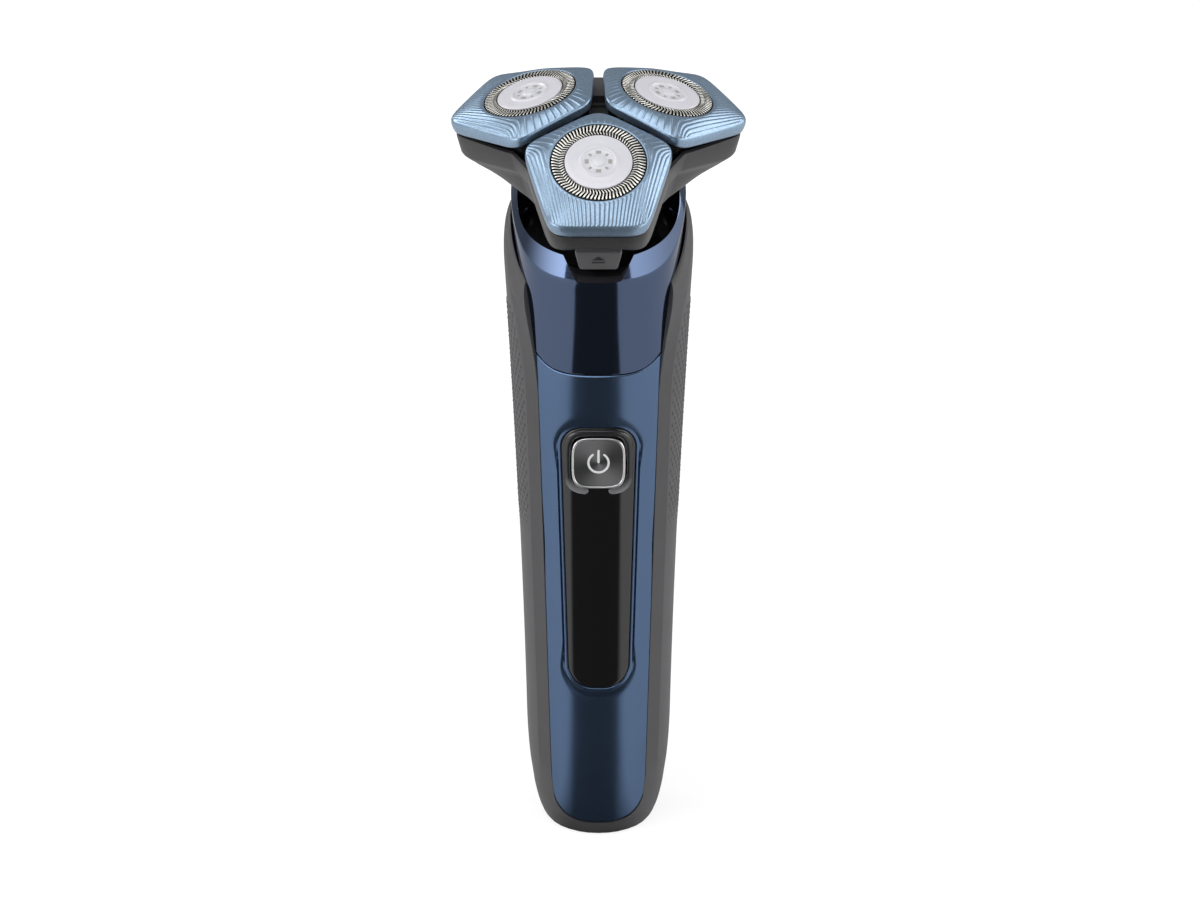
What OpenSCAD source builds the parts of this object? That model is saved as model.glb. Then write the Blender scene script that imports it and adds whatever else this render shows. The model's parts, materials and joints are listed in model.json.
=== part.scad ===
// Rotary electric shaver with three flexing heads and a lift-off shaving unit.
// Millimetres. The base stands on Z = 0, the front faces -Y.

/* [Handle] */
// Height of the grip's shoulder above the base
shoulder_z = 130; // [125:1:136]
// Half width of the grip near the base
grip_w_low = 15.25; // [14.5:0.25:16]
// Half width of the grip at its waist
grip_w_mid = 16.8; // [16:0.2:17.4]
// Half width of the grip at the shoulder
grip_w_top = 19.9; // [19.5:0.1:20.5]
// Front depth near the base
front_low = 14.5; // [14:0.25:15]
// Front depth at the waist
front_mid = 14.6; // [14.2:0.2:15]
// Front depth at the shoulder
front_top = 18; // [17.6:0.2:18.4]
// Back depth near the base
back_low = 14.6; // [14:0.2:16]
// Back depth at the waist
back_mid = 17.2; // [16.5:0.25:18]
// Back depth at the shoulder
back_top = 19.6; // [19:0.2:20.4]
// Height of the crease along each side of the grip
crease_h = 0.8; // [0.4:0.1:1]
// Wall of the grip shell
grip_wall = 2; // [1.8:0.1:2.2]
// Wall of the front panel
panel_wall = 1.8; // [1.5:0.1:2]
// Parting gap between the outer pieces
parting = 0.12; // [0.08:0.02:0.2]

/* [Front] */
// Half width of the front panel near its lower end
panel_w_low = 10.05; // [9.5:0.1:10.4]
// Height of the seam between panel and collar at the middle
seam_z = 104.6; // [102:0.2:107]
// Lower end of the display window
window_z0 = 34; // [31:0.5:38]
// Upper end of the display window
window_z1 = 92.6; // [91:0.2:94]
// Half width of the window at the top
window_w_top = 7.75; // [7.4:0.05:8]
// Half width of the window at the bottom
window_w_low = 6.4; // [6:0.1:6.8]
// Width of the power button over its trim
button_w = 11.1; // [10.6:0.1:11.4]
// Travel of the power button
button_travel = 0.5; // [0.3:0.1:0.6]

/* [Shaving unit] */
// Forward lean of the shaving unit
head_tilt = 19; // [17:0.5:20]
// Outward lean of each head
splay = 16.5; // [15:0.5:17.5]
// Distance from the deck to the plane of the guards
ring_h = 32; // [31.5:0.25:33]
// Radius of each slotted guard
guard_r = 9.55; // [9.5:0.05:9.65]
// Depth of the pivot below the guard's face
pivot_d = 6.5; // [6.4:0.05:6.6]
// Gear module
gear_m = 0.8; // [0.79:0.01:0.81]
// Teeth on the sun gear
sun_teeth = 24; // [24:3:24]
// Teeth on each planet gear
planet_teeth = 12; // [12:1:12]
// Running clearance of shafts and pins
run = 0.05; // [0.03:0.01:0.08]

/* [Hidden] */
$fn = 48;
eps = 0.01;
z_low = 0.154 * shoulder_z;
z_mid = 0.546 * shoulder_z;
neck_z = shoulder_z - 1.8;
round_h = 24;
round_in = 4.4;
flat = 2.15;
sides = 64;
planet_orbit = gear_m * (sun_teeth + planet_teeth) / 2;
orbit = planet_orbit + pivot_d * sin(splay);
cap_out = 15.6;
cap_side = 13.5;
cap_in = 13;
socket_y = 5.3;
hinge_y = 21.5;
hinge_z = ring_h - 8;
button_z = window_z1 - 7.6;
motor_r = 7.5;
neck_r = 10.4;
well_r = min(grip_w_top - 3.2, front_top - 1.3, back_top - 2.9);
well_y = 1.2;
spindle_r = 1;
ball_r = 1.6;
pin_r = 0.7;
plate_r = guard_r - 2.6;
disc_r = guard_r - 2.75;
blade_r = guard_r - 0.55;
hold_r = cap_in - 1.8;
ring_in = 6;
ring_out = 7.4;
gear_z = ring_h - 14.8;
gear_t = 2.6;
floor_z = ring_h - 10.8;

blue = [0.13, 0.2, 0.34];
pale_blue = [0.42, 0.58, 0.7];
dark = [0.16, 0.16, 0.17];
black = [0.03, 0.03, 0.035];
steel = [0.7, 0.7, 0.7];
white = [0.9, 0.9, 0.92];
green = [0.05, 0.25, 0.12];
brass = [0.75, 0.6, 0.3];

// Small helpers
function mix(a, b, t) = a + (b - a) * t;
function smooth(a, b, x) = let(t = min(1, max(0, (x - a) / (b - a)))) t * t * (3 - 2 * t);
function swing(x) = (exp(2 * x) - 1) / (exp(2 * x) + 1);
function power(v, e) = sign(v) * pow(abs(v), e);

// A smooth value along the handle from its low, waist and shoulder sizes
function along(z, a, b, c) =
    a * (z - z_mid) * (z - shoulder_z) / ((z_low - z_mid) * (z_low - shoulder_z))
    + b * (z - z_low) * (z - shoulder_z) / ((z_mid - z_low) * (z_mid - shoulder_z))
    + c * (z - z_low) * (z - z_mid) / ((shoulder_z - z_low) * (shoulder_z - z_mid));

// Rounding in towards the base
function base_in(z) =
    z >= round_h ? 0 : round_in * (1 - sqrt(max(0, 1 - pow(1 - z / round_h, 2))));

// How far the panel and collar lie inside the grip
function core_in(z) = 0.15 + 2.2 * smooth(shoulder_z - 35, shoulder_z - 6, z);

function half_w(z) = along(z, grip_w_low, grip_w_mid, grip_w_top) - base_in(z);
function front_d(z) = along(z, front_low, front_mid, front_top) - 0.45 * base_in(z);
function back_d(z) = along(z, back_low, back_mid, back_top) - 0.6 * base_in(z);

// A point of the handle's section at angle t from the front, moved in by o
function body_at(t, z, o, of) =
    let(s = power(sin(t), 2 / flat), c = power(cos(t), 2 / flat))
    [(half_w(z) - o) * s, c > 0 ? -(front_d(z) - of) * c : -(back_d(z) - o) * c, z];
function grip_at(t, z, o) =
    let(p = body_at(t, z, o, o))
    p.y < 0 && o < eps ? [p.x, p.y - crease_up(p.x, z), p.z] : p;
function crease_x(z) = min(edge_full(z) + 2.5, half_w(z) - 0.9);
function crease_up(x, z) =
    let(c = crease_x(z), a = abs(x), w = a < c ? 2.5 : max(0.8, half_w(z) - c))
    crease_h * smooth(6, 24, z) * (1 - smooth(shoulder_z - 24, shoulder_z - 8, z))
    * max(0, 1 - abs(a - c) / w);
function core_at(t, z, o) = body_at(t, z, core_in(z) + o, o);

// Front surface of the panel and collar as a depth at x and z
function front_at(x, z) =
    let(w = half_w(z) - core_in(z))
    -front_d(z) * pow(max(0, 1 - pow(abs(x) / w, flat)), 1 / flat);

// Back surface of the grip as a depth at x and z
function back_at(x, z) = back_d(z) * pow(max(0, 1 - pow(abs(x) / half_w(z), flat)), 1 / flat);

// Edge between the blue front and the grip
function edge_full(z) =
    panel_w_low + 0.0285 * (z - 12) + 5 * smooth(shoulder_z - 32, shoulder_z + 10, z);
function edge(z) =
    z >= 13 ? edge_full(z)
    : edge_full(z) * pow(max(0, 1 - pow((13 - z) / 11, 2.5)), 0.4);
function seam_at(x) = seam_z + 4.4 * pow(abs(x) / 13.4, 5);

// Upper edge of the collar's outer wall and the rim of its well
function bevel_z(y) = shoulder_z + 4 + 10 * swing((y + 4) / 9);
function outer_z(t) = bevel_z(-17.6 * cos(t));
function rim_h(y) = 10.4 + 3.3 * swing((y - 0.5) / 6);
function unit_pt(p) = [
    p.x,
    p.y * cos(head_tilt) - p.z * sin(head_tilt),
    neck_z + p.y * sin(head_tilt) + p.z * cos(head_tilt)
];

// A solid skinned over rings of equally many points
module skin(rings, closed = false) {
    n = len(rings[0]);
    m = len(rings);
    last = closed ? m : m - 1;
    sidesf = [
        for (k = [0 : last - 1], i = [0 : n - 1])
            let(a = k * n, b = ((k + 1) % m) * n, j = (i + 1) % n)
            [a + i, b + i, b + j, a + j]
    ];
    caps = closed ? [] : [
        [for (i = [0 : n - 1]) i],
        [for (i = [n - 1 : -1 : 0]) (m - 1) * n + i]
    ];
    polyhedron(points = [for (r = rings, p = r) p], faces = concat(caps, sidesf), convexity = 8);
}

// A slab that follows the front surface between two depths
module front_slab(xs, zs, y0, y1) {
    nx = len(xs);
    nz = len(zs);
    outer = [for (z = zs, x = xs) [x, front_at(x, z) + y0, z]];
    inner = [for (z = zs, x = xs) [x, front_at(x, z) + y1, z]];
    b = nx * nz;
    fo = [
        for (j = [0 : nz - 2], i = [0 : nx - 2])
            [j * nx + i, (j + 1) * nx + i, (j + 1) * nx + i + 1, j * nx + i + 1]
    ];
    fi = [for (f = fo) [b + f[0], b + f[3], b + f[2], b + f[1]]];
    bottom = [for (i = [0 : nx - 2]) [i, i + 1, b + i + 1, b + i]];
    top = [
        for (i = [0 : nx - 2])
            let(q = (nz - 1) * nx) [q + i, b + q + i, b + q + i + 1, q + i + 1]
    ];
    left = [for (j = [0 : nz - 2]) [j * nx, b + j * nx, b + (j + 1) * nx, (j + 1) * nx]];
    right = [
        for (j = [0 : nz - 2])
            let(q = j * nx + nx - 1) [q, q + nx, b + q + nx, b + q]
    ];
    polyhedron(points = concat(outer, inner), faces = concat(fo, fi, bottom, top, left, right),
        convexity = 8);
}

// Extrudes a front-view outline towards the front, from depth y0 to y1
module from_front(y0, y1) {
    translate([0, y1, 0]) rotate([90, 0, 0]) linear_extrude(y1 - y0) children();
}

module in_unit() {
    translate([0, 0, neck_z]) rotate([head_tilt, 0, 0]) children();
}

module at_head(i) {
    in_unit() rotate([0, 0, 120 * (i - 1)]) translate([0, -orbit, ring_h])
        rotate([splay, 0, 0]) children();
}

module at_planet(i) {
    in_unit() rotate([0, 0, 120 * (i - 1)]) translate([0, -planet_orbit, 0]) children();
}

// Front-view outline of the blue front, drawn in by g, between two heights
module front_outline(g, z0, z1) {
    zs = [for (k = [0 : 30]) mix(z0, z1, pow(k / 30, 1.4))];
    polygon(concat(
        [for (z = zs) [edge(z) - g, z]],
        [for (k = [30 : -1 : 0]) [-(edge(zs[k]) - g), zs[k]]]
    ));
}

function window_half(z) = mix(window_w_low, window_w_top, (z - window_z0) / (window_z1 - window_z0));

// Tapered window outline with round corners, grown by g
module window_outline(g) {
    rt = 4.6;
    rb = 5.2;
    xt = window_w_top - rt;
    xb = window_w_low - rb;
    polygon(concat(
        [for (a = [-90 : 9 : 0]) [xb + (rb + g) * cos(a), window_z0 + rb + (rb + g) * sin(a)]],
        [for (a = [0 : 9 : 90]) [xt + (rt + g) * cos(a), window_z1 - rt + (rt + g) * sin(a)]],
        [for (a = [90 : 9 : 180]) [-xt + (rt + g) * cos(a), window_z1 - rt + (rt + g) * sin(a)]],
        [for (a = [180 : 9 : 270]) [-xb + (rb + g) * cos(a), window_z0 + rb + (rb + g) * sin(a)]]
    ));
}

// Rounded square of a given width around the button's centre
module soft_square(w) {
    translate([0, button_z])
        polygon([for (a = [0 : 6 : 354]) [w / 2 * power(cos(a), 0.5), w / 2 * power(sin(a), 0.5)]]);
}

// Radius of the cap's outline at angle a from outward, grown by o
function cap_r(a, o) =
    let(q = [[0, cap_out], [75, cap_side], [-75, cap_side], [150, cap_in], [-150, cap_in]])
    pow([for (e = q) pow(max(0, cos(a - e[0]) / (e[1] + o)), 11)] * [1, 1, 1, 1, 1], -1 / 11);

module gear_outline(n, slack) {
    r = gear_m * n / 2;
    ra = r + 0.8 * gear_m;
    rf = r - 1.15 * gear_m;
    h = 90 / n - slack / r * 57.3 / 2;
    polygon([
        for (k = [0 : n - 1], q = [[rf, -1.75], [r, -1], [ra, -0.42], [ra, 0.42], [r, 1], [rf, 1.75]])
            let(a = 360 * k / n + h * q[1]) [q[0] * sin(a), -q[0] * cos(a)]
    ]);
}

// A disc with a round lobe at each planet gear
module clover(a, b) {
    circle(r = a);
    for (i = [0 : 2]) rotate(120 * i) translate([0, -planet_orbit]) circle(r = b);
}

module grip_shell() {
    function top_z(t) = outer_z(t) - 5.5;
    low = [0, 0.7, 2.2, 5, 10, 17, round_h];
    up = [0.2, 0.4, 0.6, 0.8, 1];
    lip = [[-5, 0.15], [-2.6, 0.55], [-0.9, 1.15], [0, 1.75], [0, 2.05]];
    back_up = [1, 0.66, 0.33];
    ts = [for (i = [0 : sides - 1]) 360 * i / sides];
    rings = concat(
        [for (z = low) [for (t = ts) grip_at(t, z, 0)]],
        [for (k = up) [for (t = ts) grip_at(t, mix(round_h, top_z(t) - 8, k), 0)]],
        [for (e = lip) [for (t = ts) grip_at(t, top_z(t) + e[0], e[1])]],
        [for (k = back_up) [for (t = ts) grip_at(t, mix(round_h, top_z(t) - 8, k), grip_wall)]],
        [for (z = [round_h, 12, 5, 2.2]) [for (t = ts) grip_at(t, z, grip_wall)]]
    );
    color(dark) difference() {
        union() {
            skin(rings);
            for (x = [-9.6, 9.6], z = [24, 92])
                translate([x, -5, z]) rotate([-90, 0, 0])
                    cylinder(r = 1.8, h = 4.6 + back_at(abs(x) + 1.8, z));
        }
        from_front(-40, 1) front_outline(0, 2.05, shoulder_z + 20);
        translate([-5.1, socket_y - 3.8, -1]) cube([10.2, 7.6, 8]);
    }
}

module front_panel() {
    s = [for (k = [0 : 24]) sin(90 * (k / 12 - 1))];
    rows = 22;
    function low_at(u) = 2.4 + 10.6 * (1 - pow(max(0, 1 - pow(abs(u), 2.5)), 0.4));
    function top_at(u) = seam_at(13.3 * u) - parting;
    function pt(u, k, o) =
        let(z = mix(low_at(u), top_at(u), k / rows), x = u * (edge_full(z) - parting))
        [x, front_at(x, z) + o, z];
    n = len(s);
    b = n * (rows + 1);
    fo = [
        for (j = [0 : rows - 1], i = [0 : n - 2])
            [j * n + i, (j + 1) * n + i, (j + 1) * n + i + 1, j * n + i + 1]
    ];
    fi = [for (f = fo) [b + f[0], b + f[3], b + f[2], b + f[1]]];
    q = rows * n;
    rims = concat(
        [for (i = [0 : n - 2]) [i, i + 1, b + i + 1, b + i]],
        [for (i = [0 : n - 2]) [q + i, b + q + i, b + q + i + 1, q + i + 1]],
        [for (j = [0 : rows - 1]) [j * n, b + j * n, b + (j + 1) * n, (j + 1) * n]],
        [for (j = [0 : rows - 1]) let(e = j * n + n - 1) [e, e + n, b + e + n, b + e]]
    );
    color(blue) union() {
        difference() {
            polyhedron(
                points = concat(
                    [for (k = [0 : rows], u = s) pt(u, k, 0)],
                    [for (k = [0 : rows], u = s) pt(u, k, panel_wall)]
                ),
                faces = concat(fo, fi, rims), convexity = 8);
            from_front(-30, -2) window_outline(parting);
        }
        for (x = [-7.4, 7.4], z = [24.2, 97.6])
            translate([x, front_at(x, z) + 1, z]) rotate([-90, 0, 0])
                cylinder(r = 1.2, h = -6.6 - front_at(x, z) - 1);
    }
}

module collar() {
    ts = [for (i = [0 : sides - 1]) 360 * i / sides];
    z0 = seam_z - 6;
    function well_pt(t, h) =
        let(y = well_y - well_r * cos(t))
        unit_pt([well_r * sin(t), y, h > 0 ? rim_h(y) : h]);
    function under_z(t) = neck_z - 3.4 - 5.5 * cos(t);
    rings = concat(
        [for (k = [0 : 0.125 : 1]) [for (t = ts) core_at(t, mix(z0, outer_z(t), k), 0)]],
        [[for (t = ts) well_pt(t, 1)]],
        [[for (t = ts) well_pt(t, -2.4)]],
        [for (k = [1, 0.5, 0]) [for (t = ts) core_at(t, mix(z0, under_z(t), k), panel_wall)]]
    );
    color(blue) union() {
        difference() {
            skin(rings, true);
            // below the seam at the front
            from_front(-40, 5) polygon(concat(
                [[-30, z0 - 5], [30, z0 - 5], [30, seam_at(14.2)]],
                [for (k = [0 : 28]) let(x = 14.2 - k * 14.2 / 14) [x, seam_at(x) + parting]],
                [[-30, seam_at(14.2)]]
            ));
            // beside the apron, where the grip lies
            difference() {
                translate([-40, -40, z0 - 10]) cube([80, 80, 80]);
                from_front(-50, 1.2) front_outline(parting, seam_z - 8, shoulder_z + 22);
                in_unit() translate([-50, -50, -5]) cube([100, 100, 60]);
            }
            // notch for the release button
            in_unit() translate([0, -8, 0]) rotate([90, 0, 0]) linear_extrude(30)
                polygon([[-4.6, 2.7], [4.6, 2.7], [7.3, 7.2], [8.2, 30], [-8.2, 30], [-7.3, 7.2]]);
        }
        // posts down to the chassis
        for (x = [-11, 11])
            translate([x, front_at(x, 113) + 1, 113]) rotate([-90, 0, 0])
                cylinder(r = 0.9, h = -6.6 - front_at(x, 113) - 1);
    }
}

module collar_deck() {
    color(black) in_unit() difference() {
        union() {
            translate([0, well_y, -2]) cylinder(r = well_r - 0.1, h = 2);
            cylinder(r = neck_r - 2, h = 5);
            for (a = [60, 180, 300])
                rotate([0, 0, a]) translate([0, -8.2, -4.5]) cylinder(r = 1.4, h = 3);
        }
        translate([0, 0, -0.6 + eps]) cylinder(r = neck_r - 3.3, h = 8);
        translate([0, 0, -5]) cylinder(r = 3.2, h = 8);
    }
}

module display_lens() {
    xs = [for (k = [0 : 20]) 9 * (k / 10 - 1)];
    zs = [for (k = [0 : 16]) mix(window_z0 - 2, window_z1 + 2, k / 16)];
    color(black) union() {
        difference() {
            intersection() {
                front_slab(xs, zs, 0.5, 2);
                from_front(-30, -2) window_outline(-0.02);
            }
            from_front(-30, -2) soft_square(button_w + 0.6);
        }
        for (z = [44, 70])
            translate([0, front_at(0, z) + 1.2, z]) rotate([-90, 0, 0])
                cylinder(r = 0.9, h = -10.9 - front_at(0, z) - 1.2);
    }
}

module button_surround() {
    xs = [for (k = [0 : 20]) 9 * (k / 10 - 1)];
    zs = [for (k = [0 : 16]) mix(window_z0 - 2, window_z1 + 2, k / 16)];
    color(dark) intersection() {
        front_slab(xs, zs, 0.1, 0.5);
        from_front(-30, -2) difference() {
            soft_square(button_w + 3.4);
            soft_square(button_w + 0.7);
            translate([-2.6, button_z - 12]) square([5.2, 10]);
        }
    }
}

module display_board() {
    color(green) translate([-5.6, -10.9, 40]) cube([11.2, 0.8, 34]);
}

module board_link() {
    color(black) translate([-4, -10.1, 54]) cube([8, 2.5, 6]);
}

module main_board() {
    color(green) difference() {
        translate([-9, -7.6, 26]) cube([18, 1, 70]);
        for (x = [-7.6, 7.6], z = [29, 93])
            translate([x, -8, z]) rotate([-90, 0, 0]) cylinder(r = 0.85, h = 2);
    }
}

module tact_switch() {
    color(steel) union() {
        translate([-3, -9.6, button_z - 3]) cube([6, 2, 6]);
        translate([0, -9.6, button_z]) rotate([90, 0, 0]) cylinder(r = 1.5, h = 0.5);
    }
}

module chassis() {
    color(dark) difference() {
        union() {
            translate([-11, -6.6, 22]) cube([22, 1.6, 77]);
            for (z = [34, 66]) translate([-8.6, -5.01, z]) cube([17.2, 7.4, 3]);
            translate([-8.6, -5.01, 79.4]) cube([17.2, 9, 1.6]);
            translate([-7.4, -5.01, 24.8]) cube([14.8, 9, 1.6]);
            for (x = [-12, 10]) translate([x, -6.6, 95]) cube([2, 1.6, 40]);
            for (x = [-5.4, 3.8]) translate([x, -6.6, 12]) cube([1.6, 2.2, 12]);
            translate([-5.4, -6.6, 11.8]) cube([10.8, 13, 1.6]);
        }
        translate([0, 2.5, 26.4]) cylinder(r = 7.15, h = 53);
        for (x = [-7.6, 7.6], z = [29, 93])
            translate([x, -7, z]) rotate([-90, 0, 0]) cylinder(r = 0.8, h = 3);
        in_unit() translate([-30, -30, -2]) cube([60, 60, 40]);
    }
}

module battery() {
    color(pale_blue) union() {
        translate([0, 2.5, 27]) cylinder(r = 7.1, h = 51.2);
        translate([0, 2.5, 78.2]) cylinder(r = 2.6, h = 0.9);
    }
}

module battery_tabs() {
    color(steel) union() {
        translate([-2.5, -1, 79.1]) cube([5, 7, 0.3]);
        translate([-2.5, -1, 26.4]) cube([5, 7, 0.6]);
    }
}

module motor_mount() {
    color(dark) in_unit() difference() {
        translate([0, 0, -6]) cylinder(r = 9.8, h = 1.5);
        translate([0, 0, -7]) cylinder(r = 3.4, h = 4);
        for (x = [-5, 5]) translate([x, 0, -7]) cylinder(r = 0.85, h = 4);
    }
}

module motor_can() {
    color(steel) in_unit() difference() {
        union() {
            translate([0, 0, -24]) cylinder(r = motor_r, h = 18);
            translate([0, 0, -6 - eps]) cylinder(r = 3.3, h = 1.5);
        }
        translate([0, 0, -25]) cylinder(r = motor_r - 1.2, h = 17.6);
        translate([0, 0, -26]) cylinder(r = 1 + run, h = 30);
        for (x = [-5, 5]) translate([x, 0, -9]) cylinder(r = 0.8, h = 4);
    }
}

module motor_cap() {
    color(black) in_unit() difference() {
        union() {
            translate([0, 0, -26]) cylinder(r = motor_r, h = 2);
            translate([0, 0, -27.2]) cylinder(r = 2.6, h = 1.3);
        }
        translate([0, 0, -26.4]) cylinder(r = 1 + run, h = 5);
    }
}

module shaft_seal() {
    color(black) in_unit() difference() {
        translate([0, 0, -2]) cylinder(r = 3.2, h = 1.4);
        translate([0, 0, -3]) cylinder(r = 1 + run, h = 4);
    }
}

module socket_housing() {
    color(black) difference() {
        translate([-5, socket_y - 3.7, 0.8]) cube([10, 7.4, 11]);
        translate([-3.8, socket_y - 2.5, -1]) cube([7.6, 5, 10.6]);
    }
}

module socket_pins() {
    color(steel) for (x = [-1.8, 1.8])
        translate([x, socket_y, 5.4]) cylinder(r = 0.6, h = 4.2);
}

module board_screws() {
    color(steel) for (x = [-7.6, 7.6], z = [29, 93])
        translate([x, -8.3, z]) rotate([-90, 0, 0]) union() {
            cylinder(r = 1.3, h = 0.7);
            cylinder(r = 0.8, h = 3);
        }
}

module motor_screws() {
    color(steel) in_unit() for (x = [-5, 5]) translate([x, 0, 0]) union() {
        translate([0, 0, -7.4]) cylinder(r = 0.8, h = 3);
        translate([0, 0, -4.5]) cylinder(r = 1.4, h = 0.8);
    }
}

module motor_shaft() {
    color(steel) in_unit() translate([0, 0, -26.3]) cylinder(r = 1, h = 30.3);
}

module motor_armature() {
    color(brass) in_unit() difference() {
        translate([0, 0, -22.5]) cylinder(r = motor_r - 1.9, h = 13.5);
        translate([0, 0, -23]) cylinder(r = 1, h = 15);
        for (a = [0 : 60 : 300])
            rotate([0, 0, a]) translate([2.6, -0.6, -23]) cube([5, 1.2, 15]);
    }
}

module drive_dog() {
    color(black) in_unit() difference() {
        union() {
            translate([0, 0, 0.5]) cylinder(r = 2.6, h = 2.2);
            translate([0, 0, 2.7 - eps]) cylinder(r = 1.75, h = 7.5, $fn = 6);
        }
        translate([0, 0, 0]) cylinder(r = 1, h = 4);
    }
}

module power_button() {
    y = front_at(0, button_z);
    color(black) union() {
        from_front(y - 0.1, y + 1.6) soft_square(button_w - 1.5);
        translate([0, -10.1 - button_travel - 0.1, button_z]) rotate([90, 0, 0])
            cylinder(r = 1.6, h = -10.1 - button_travel - 0.1 - y - 1.5);
    }
}

module button_ring() {
    y = front_at(0, button_z);
    color(steel) from_front(y - 0.3, y + 1.6) difference() {
        soft_square(button_w);
        soft_square(button_w - 1.5);
    }
}

module unit_base() {
    lobe = [for (k = [-20 : 20]) 5 * k];
    function gap_at(a) = 0.45 + 1.05 * smooth(15, 100, abs(a));
    function deep_at(a) = 1.5 * smooth(12, 45, abs(a));
    function head_pt(i, p) =
        let(
            y = -orbit + p.y * cos(splay) - p.z * sin(splay),
            z = ring_h + p.y * sin(splay) + p.z * cos(splay),
            c = cos(120 * i), s = sin(120 * i)
        ) [p.x * c - y * s, p.x * s + y * c, z];
    function lobe_pt(i, a, o, z) =
        let(r = cap_r(a, o)) head_pt(i, [r * sin(a), -r * cos(a), z]);
    function round_pt(p, r, z) =
        let(q = norm([p.x, p.y])) [p.x / q * r, p.y / q * r, z];
    function ring(o, dz, rim) = [
        for (i = [0 : 2], a = lobe) lobe_pt(i, a, o, dz - (rim ? gap_at(a) : deep_at(a)))
    ];
    wall = ring(-0.3, -8.6, false);
    keel = ring(-1.6, -10.6, false);
    rim = ring(-0.3, -4.7, true);
    rim_in = ring(-1.6, -4.7, true);
    wall_in = [for (p = ring(-2, -6.8, false)) [p.x, p.y, max(p.z, floor_z + 0.3)]];
    neck = [for (p = wall) round_pt(p, neck_r - 0.2, 0.6)];
    neck_top = [for (p = wall) round_pt(p, neck_r, 11)];
    belly = [
        for (p = wall)
            let(r = mix(neck_r, norm([p.x, p.y]), 0.66)) round_pt(p, r, ring_h - 16.4)
    ];
    pan = [
        for (p = wall_in)
            let(r = mix(11, norm([p.x, p.y]), 0.62)) round_pt(p, r, floor_z)
    ];
    color(dark) in_unit() difference() {
        union() {
            skin([neck, neck_top, belly, keel, wall, rim, rim_in, wall_in, pan]);
            // hinge knuckles and the guide of the release button
            for (x = [-7, 4]) difference() {
                union() {
                    translate([x, 16.2, floor_z - 3]) cube([3, 5.4, 5]);
                    translate([x, hinge_y, hinge_z]) rotate([0, 90, 0]) cylinder(r = 2.1, h = 3);
                }
                translate([x - 1, hinge_y, hinge_z]) rotate([0, 90, 0]) cylinder(r = 1, h = 5);
            }
            translate([-3.6, -14, 4.4]) cube([7.2, 5, 6.2]);
        }
        // gear pockets and the seat of the bowl plate
        translate([0, 0, gear_z - 0.3]) linear_extrude(8) clover(11, 6.1);
        translate([0, 0, floor_z - 1]) linear_extrude(3.4) clover(12.1, 7.1);
        for (i = [0 : 2]) rotate([0, 0, 120 * i]) translate([0, -planet_orbit, gear_z - 2.2])
            cylinder(r = spindle_r + run, h = 5);
        // drive bore and socket of the neck
        translate([0, 0, -1]) cylinder(r = 3 + run, h = 30);
        translate([0, 0, -1]) cylinder(r = neck_r - 1.7, h = 12.6);
        // way of the holder's hinge arm
        translate([-3.9, 12.4, floor_z + 0.2]) cube([7.8, 14.6, 14]);
        // way of the release button's stem
        translate([-2.2, -17, 6.2]) cube([4.4, 8, 2.8]);
    }
}

module bowl_plate() {
    color(dark) in_unit() difference() {
        translate([0, 0, floor_z - 1]) union() {
            linear_extrude(1) clover(12, 7);
            for (i = [0 : 2]) rotate([0, 0, 120 * i]) translate([0, -planet_orbit, 0])
                cylinder(r = 2.2, h = 1.9);
        }
        for (i = [0 : 2]) rotate([0, 0, 120 * i]) {
            translate([0, -planet_orbit, 0]) cylinder(r = spindle_r + 0.08, h = 40);
            translate([0, 10.9, 0]) cylinder(r = 0.85, h = 40);
        }
    }
}

module hinge_pin() {
    color(steel) in_unit() translate([-7.2, hinge_y, hinge_z]) rotate([0, 90, 0])
        cylinder(r = 1, h = 14.4);
}

module plate_screws() {
    color(steel) in_unit() for (i = [0 : 2]) rotate([0, 0, 120 * i])
        translate([0, 10.9, floor_z]) union() {
            cylinder(r = 1.1, h = 0.3);
            translate([0, 0, -1]) cylinder(r = 0.85, h = 1.1);
        }
}

module release_button() {
    color(dark) in_unit() union() {
        translate([0, -15, 0]) rotate([90, 0, 0]) linear_extrude(1.7)
            polygon([
                [-4.2, 5.7], [-3.8, 5.4], [3.8, 5.4], [4.2, 5.7], [4.9, 9.3], [4.6, 9.7],
                [-4.6, 9.7], [-4.9, 9.3]
            ]);
        translate([-1.9, -15.01, 6.5]) cube([3.8, 4.2, 2.2]);
    }
}

module sun_gear() {
    color(white) in_unit() difference() {
        union() {
            translate([0, 0, gear_z]) linear_extrude(gear_t) gear_outline(sun_teeth, 0.3);
            translate([0, 0, 6]) cylinder(r = 3, h = gear_z - 6 + eps);
        }
        translate([0, 0, 5]) cylinder(r = 2.1, h = 6.5, $fn = 6);
    }
}

module planet_gear(i) {
    top = ring_h - pivot_d * cos(splay);
    color(white) at_planet(i) union() {
        translate([0, 0, gear_z]) rotate([0, 0, 180 / planet_teeth]) linear_extrude(gear_t)
            gear_outline(planet_teeth, 0.3);
        translate([0, 0, gear_z - 2]) cylinder(r = spindle_r, h = top - gear_z + 2);
        translate([0, 0, top]) sphere(r = ball_r);
    }
}

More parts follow.
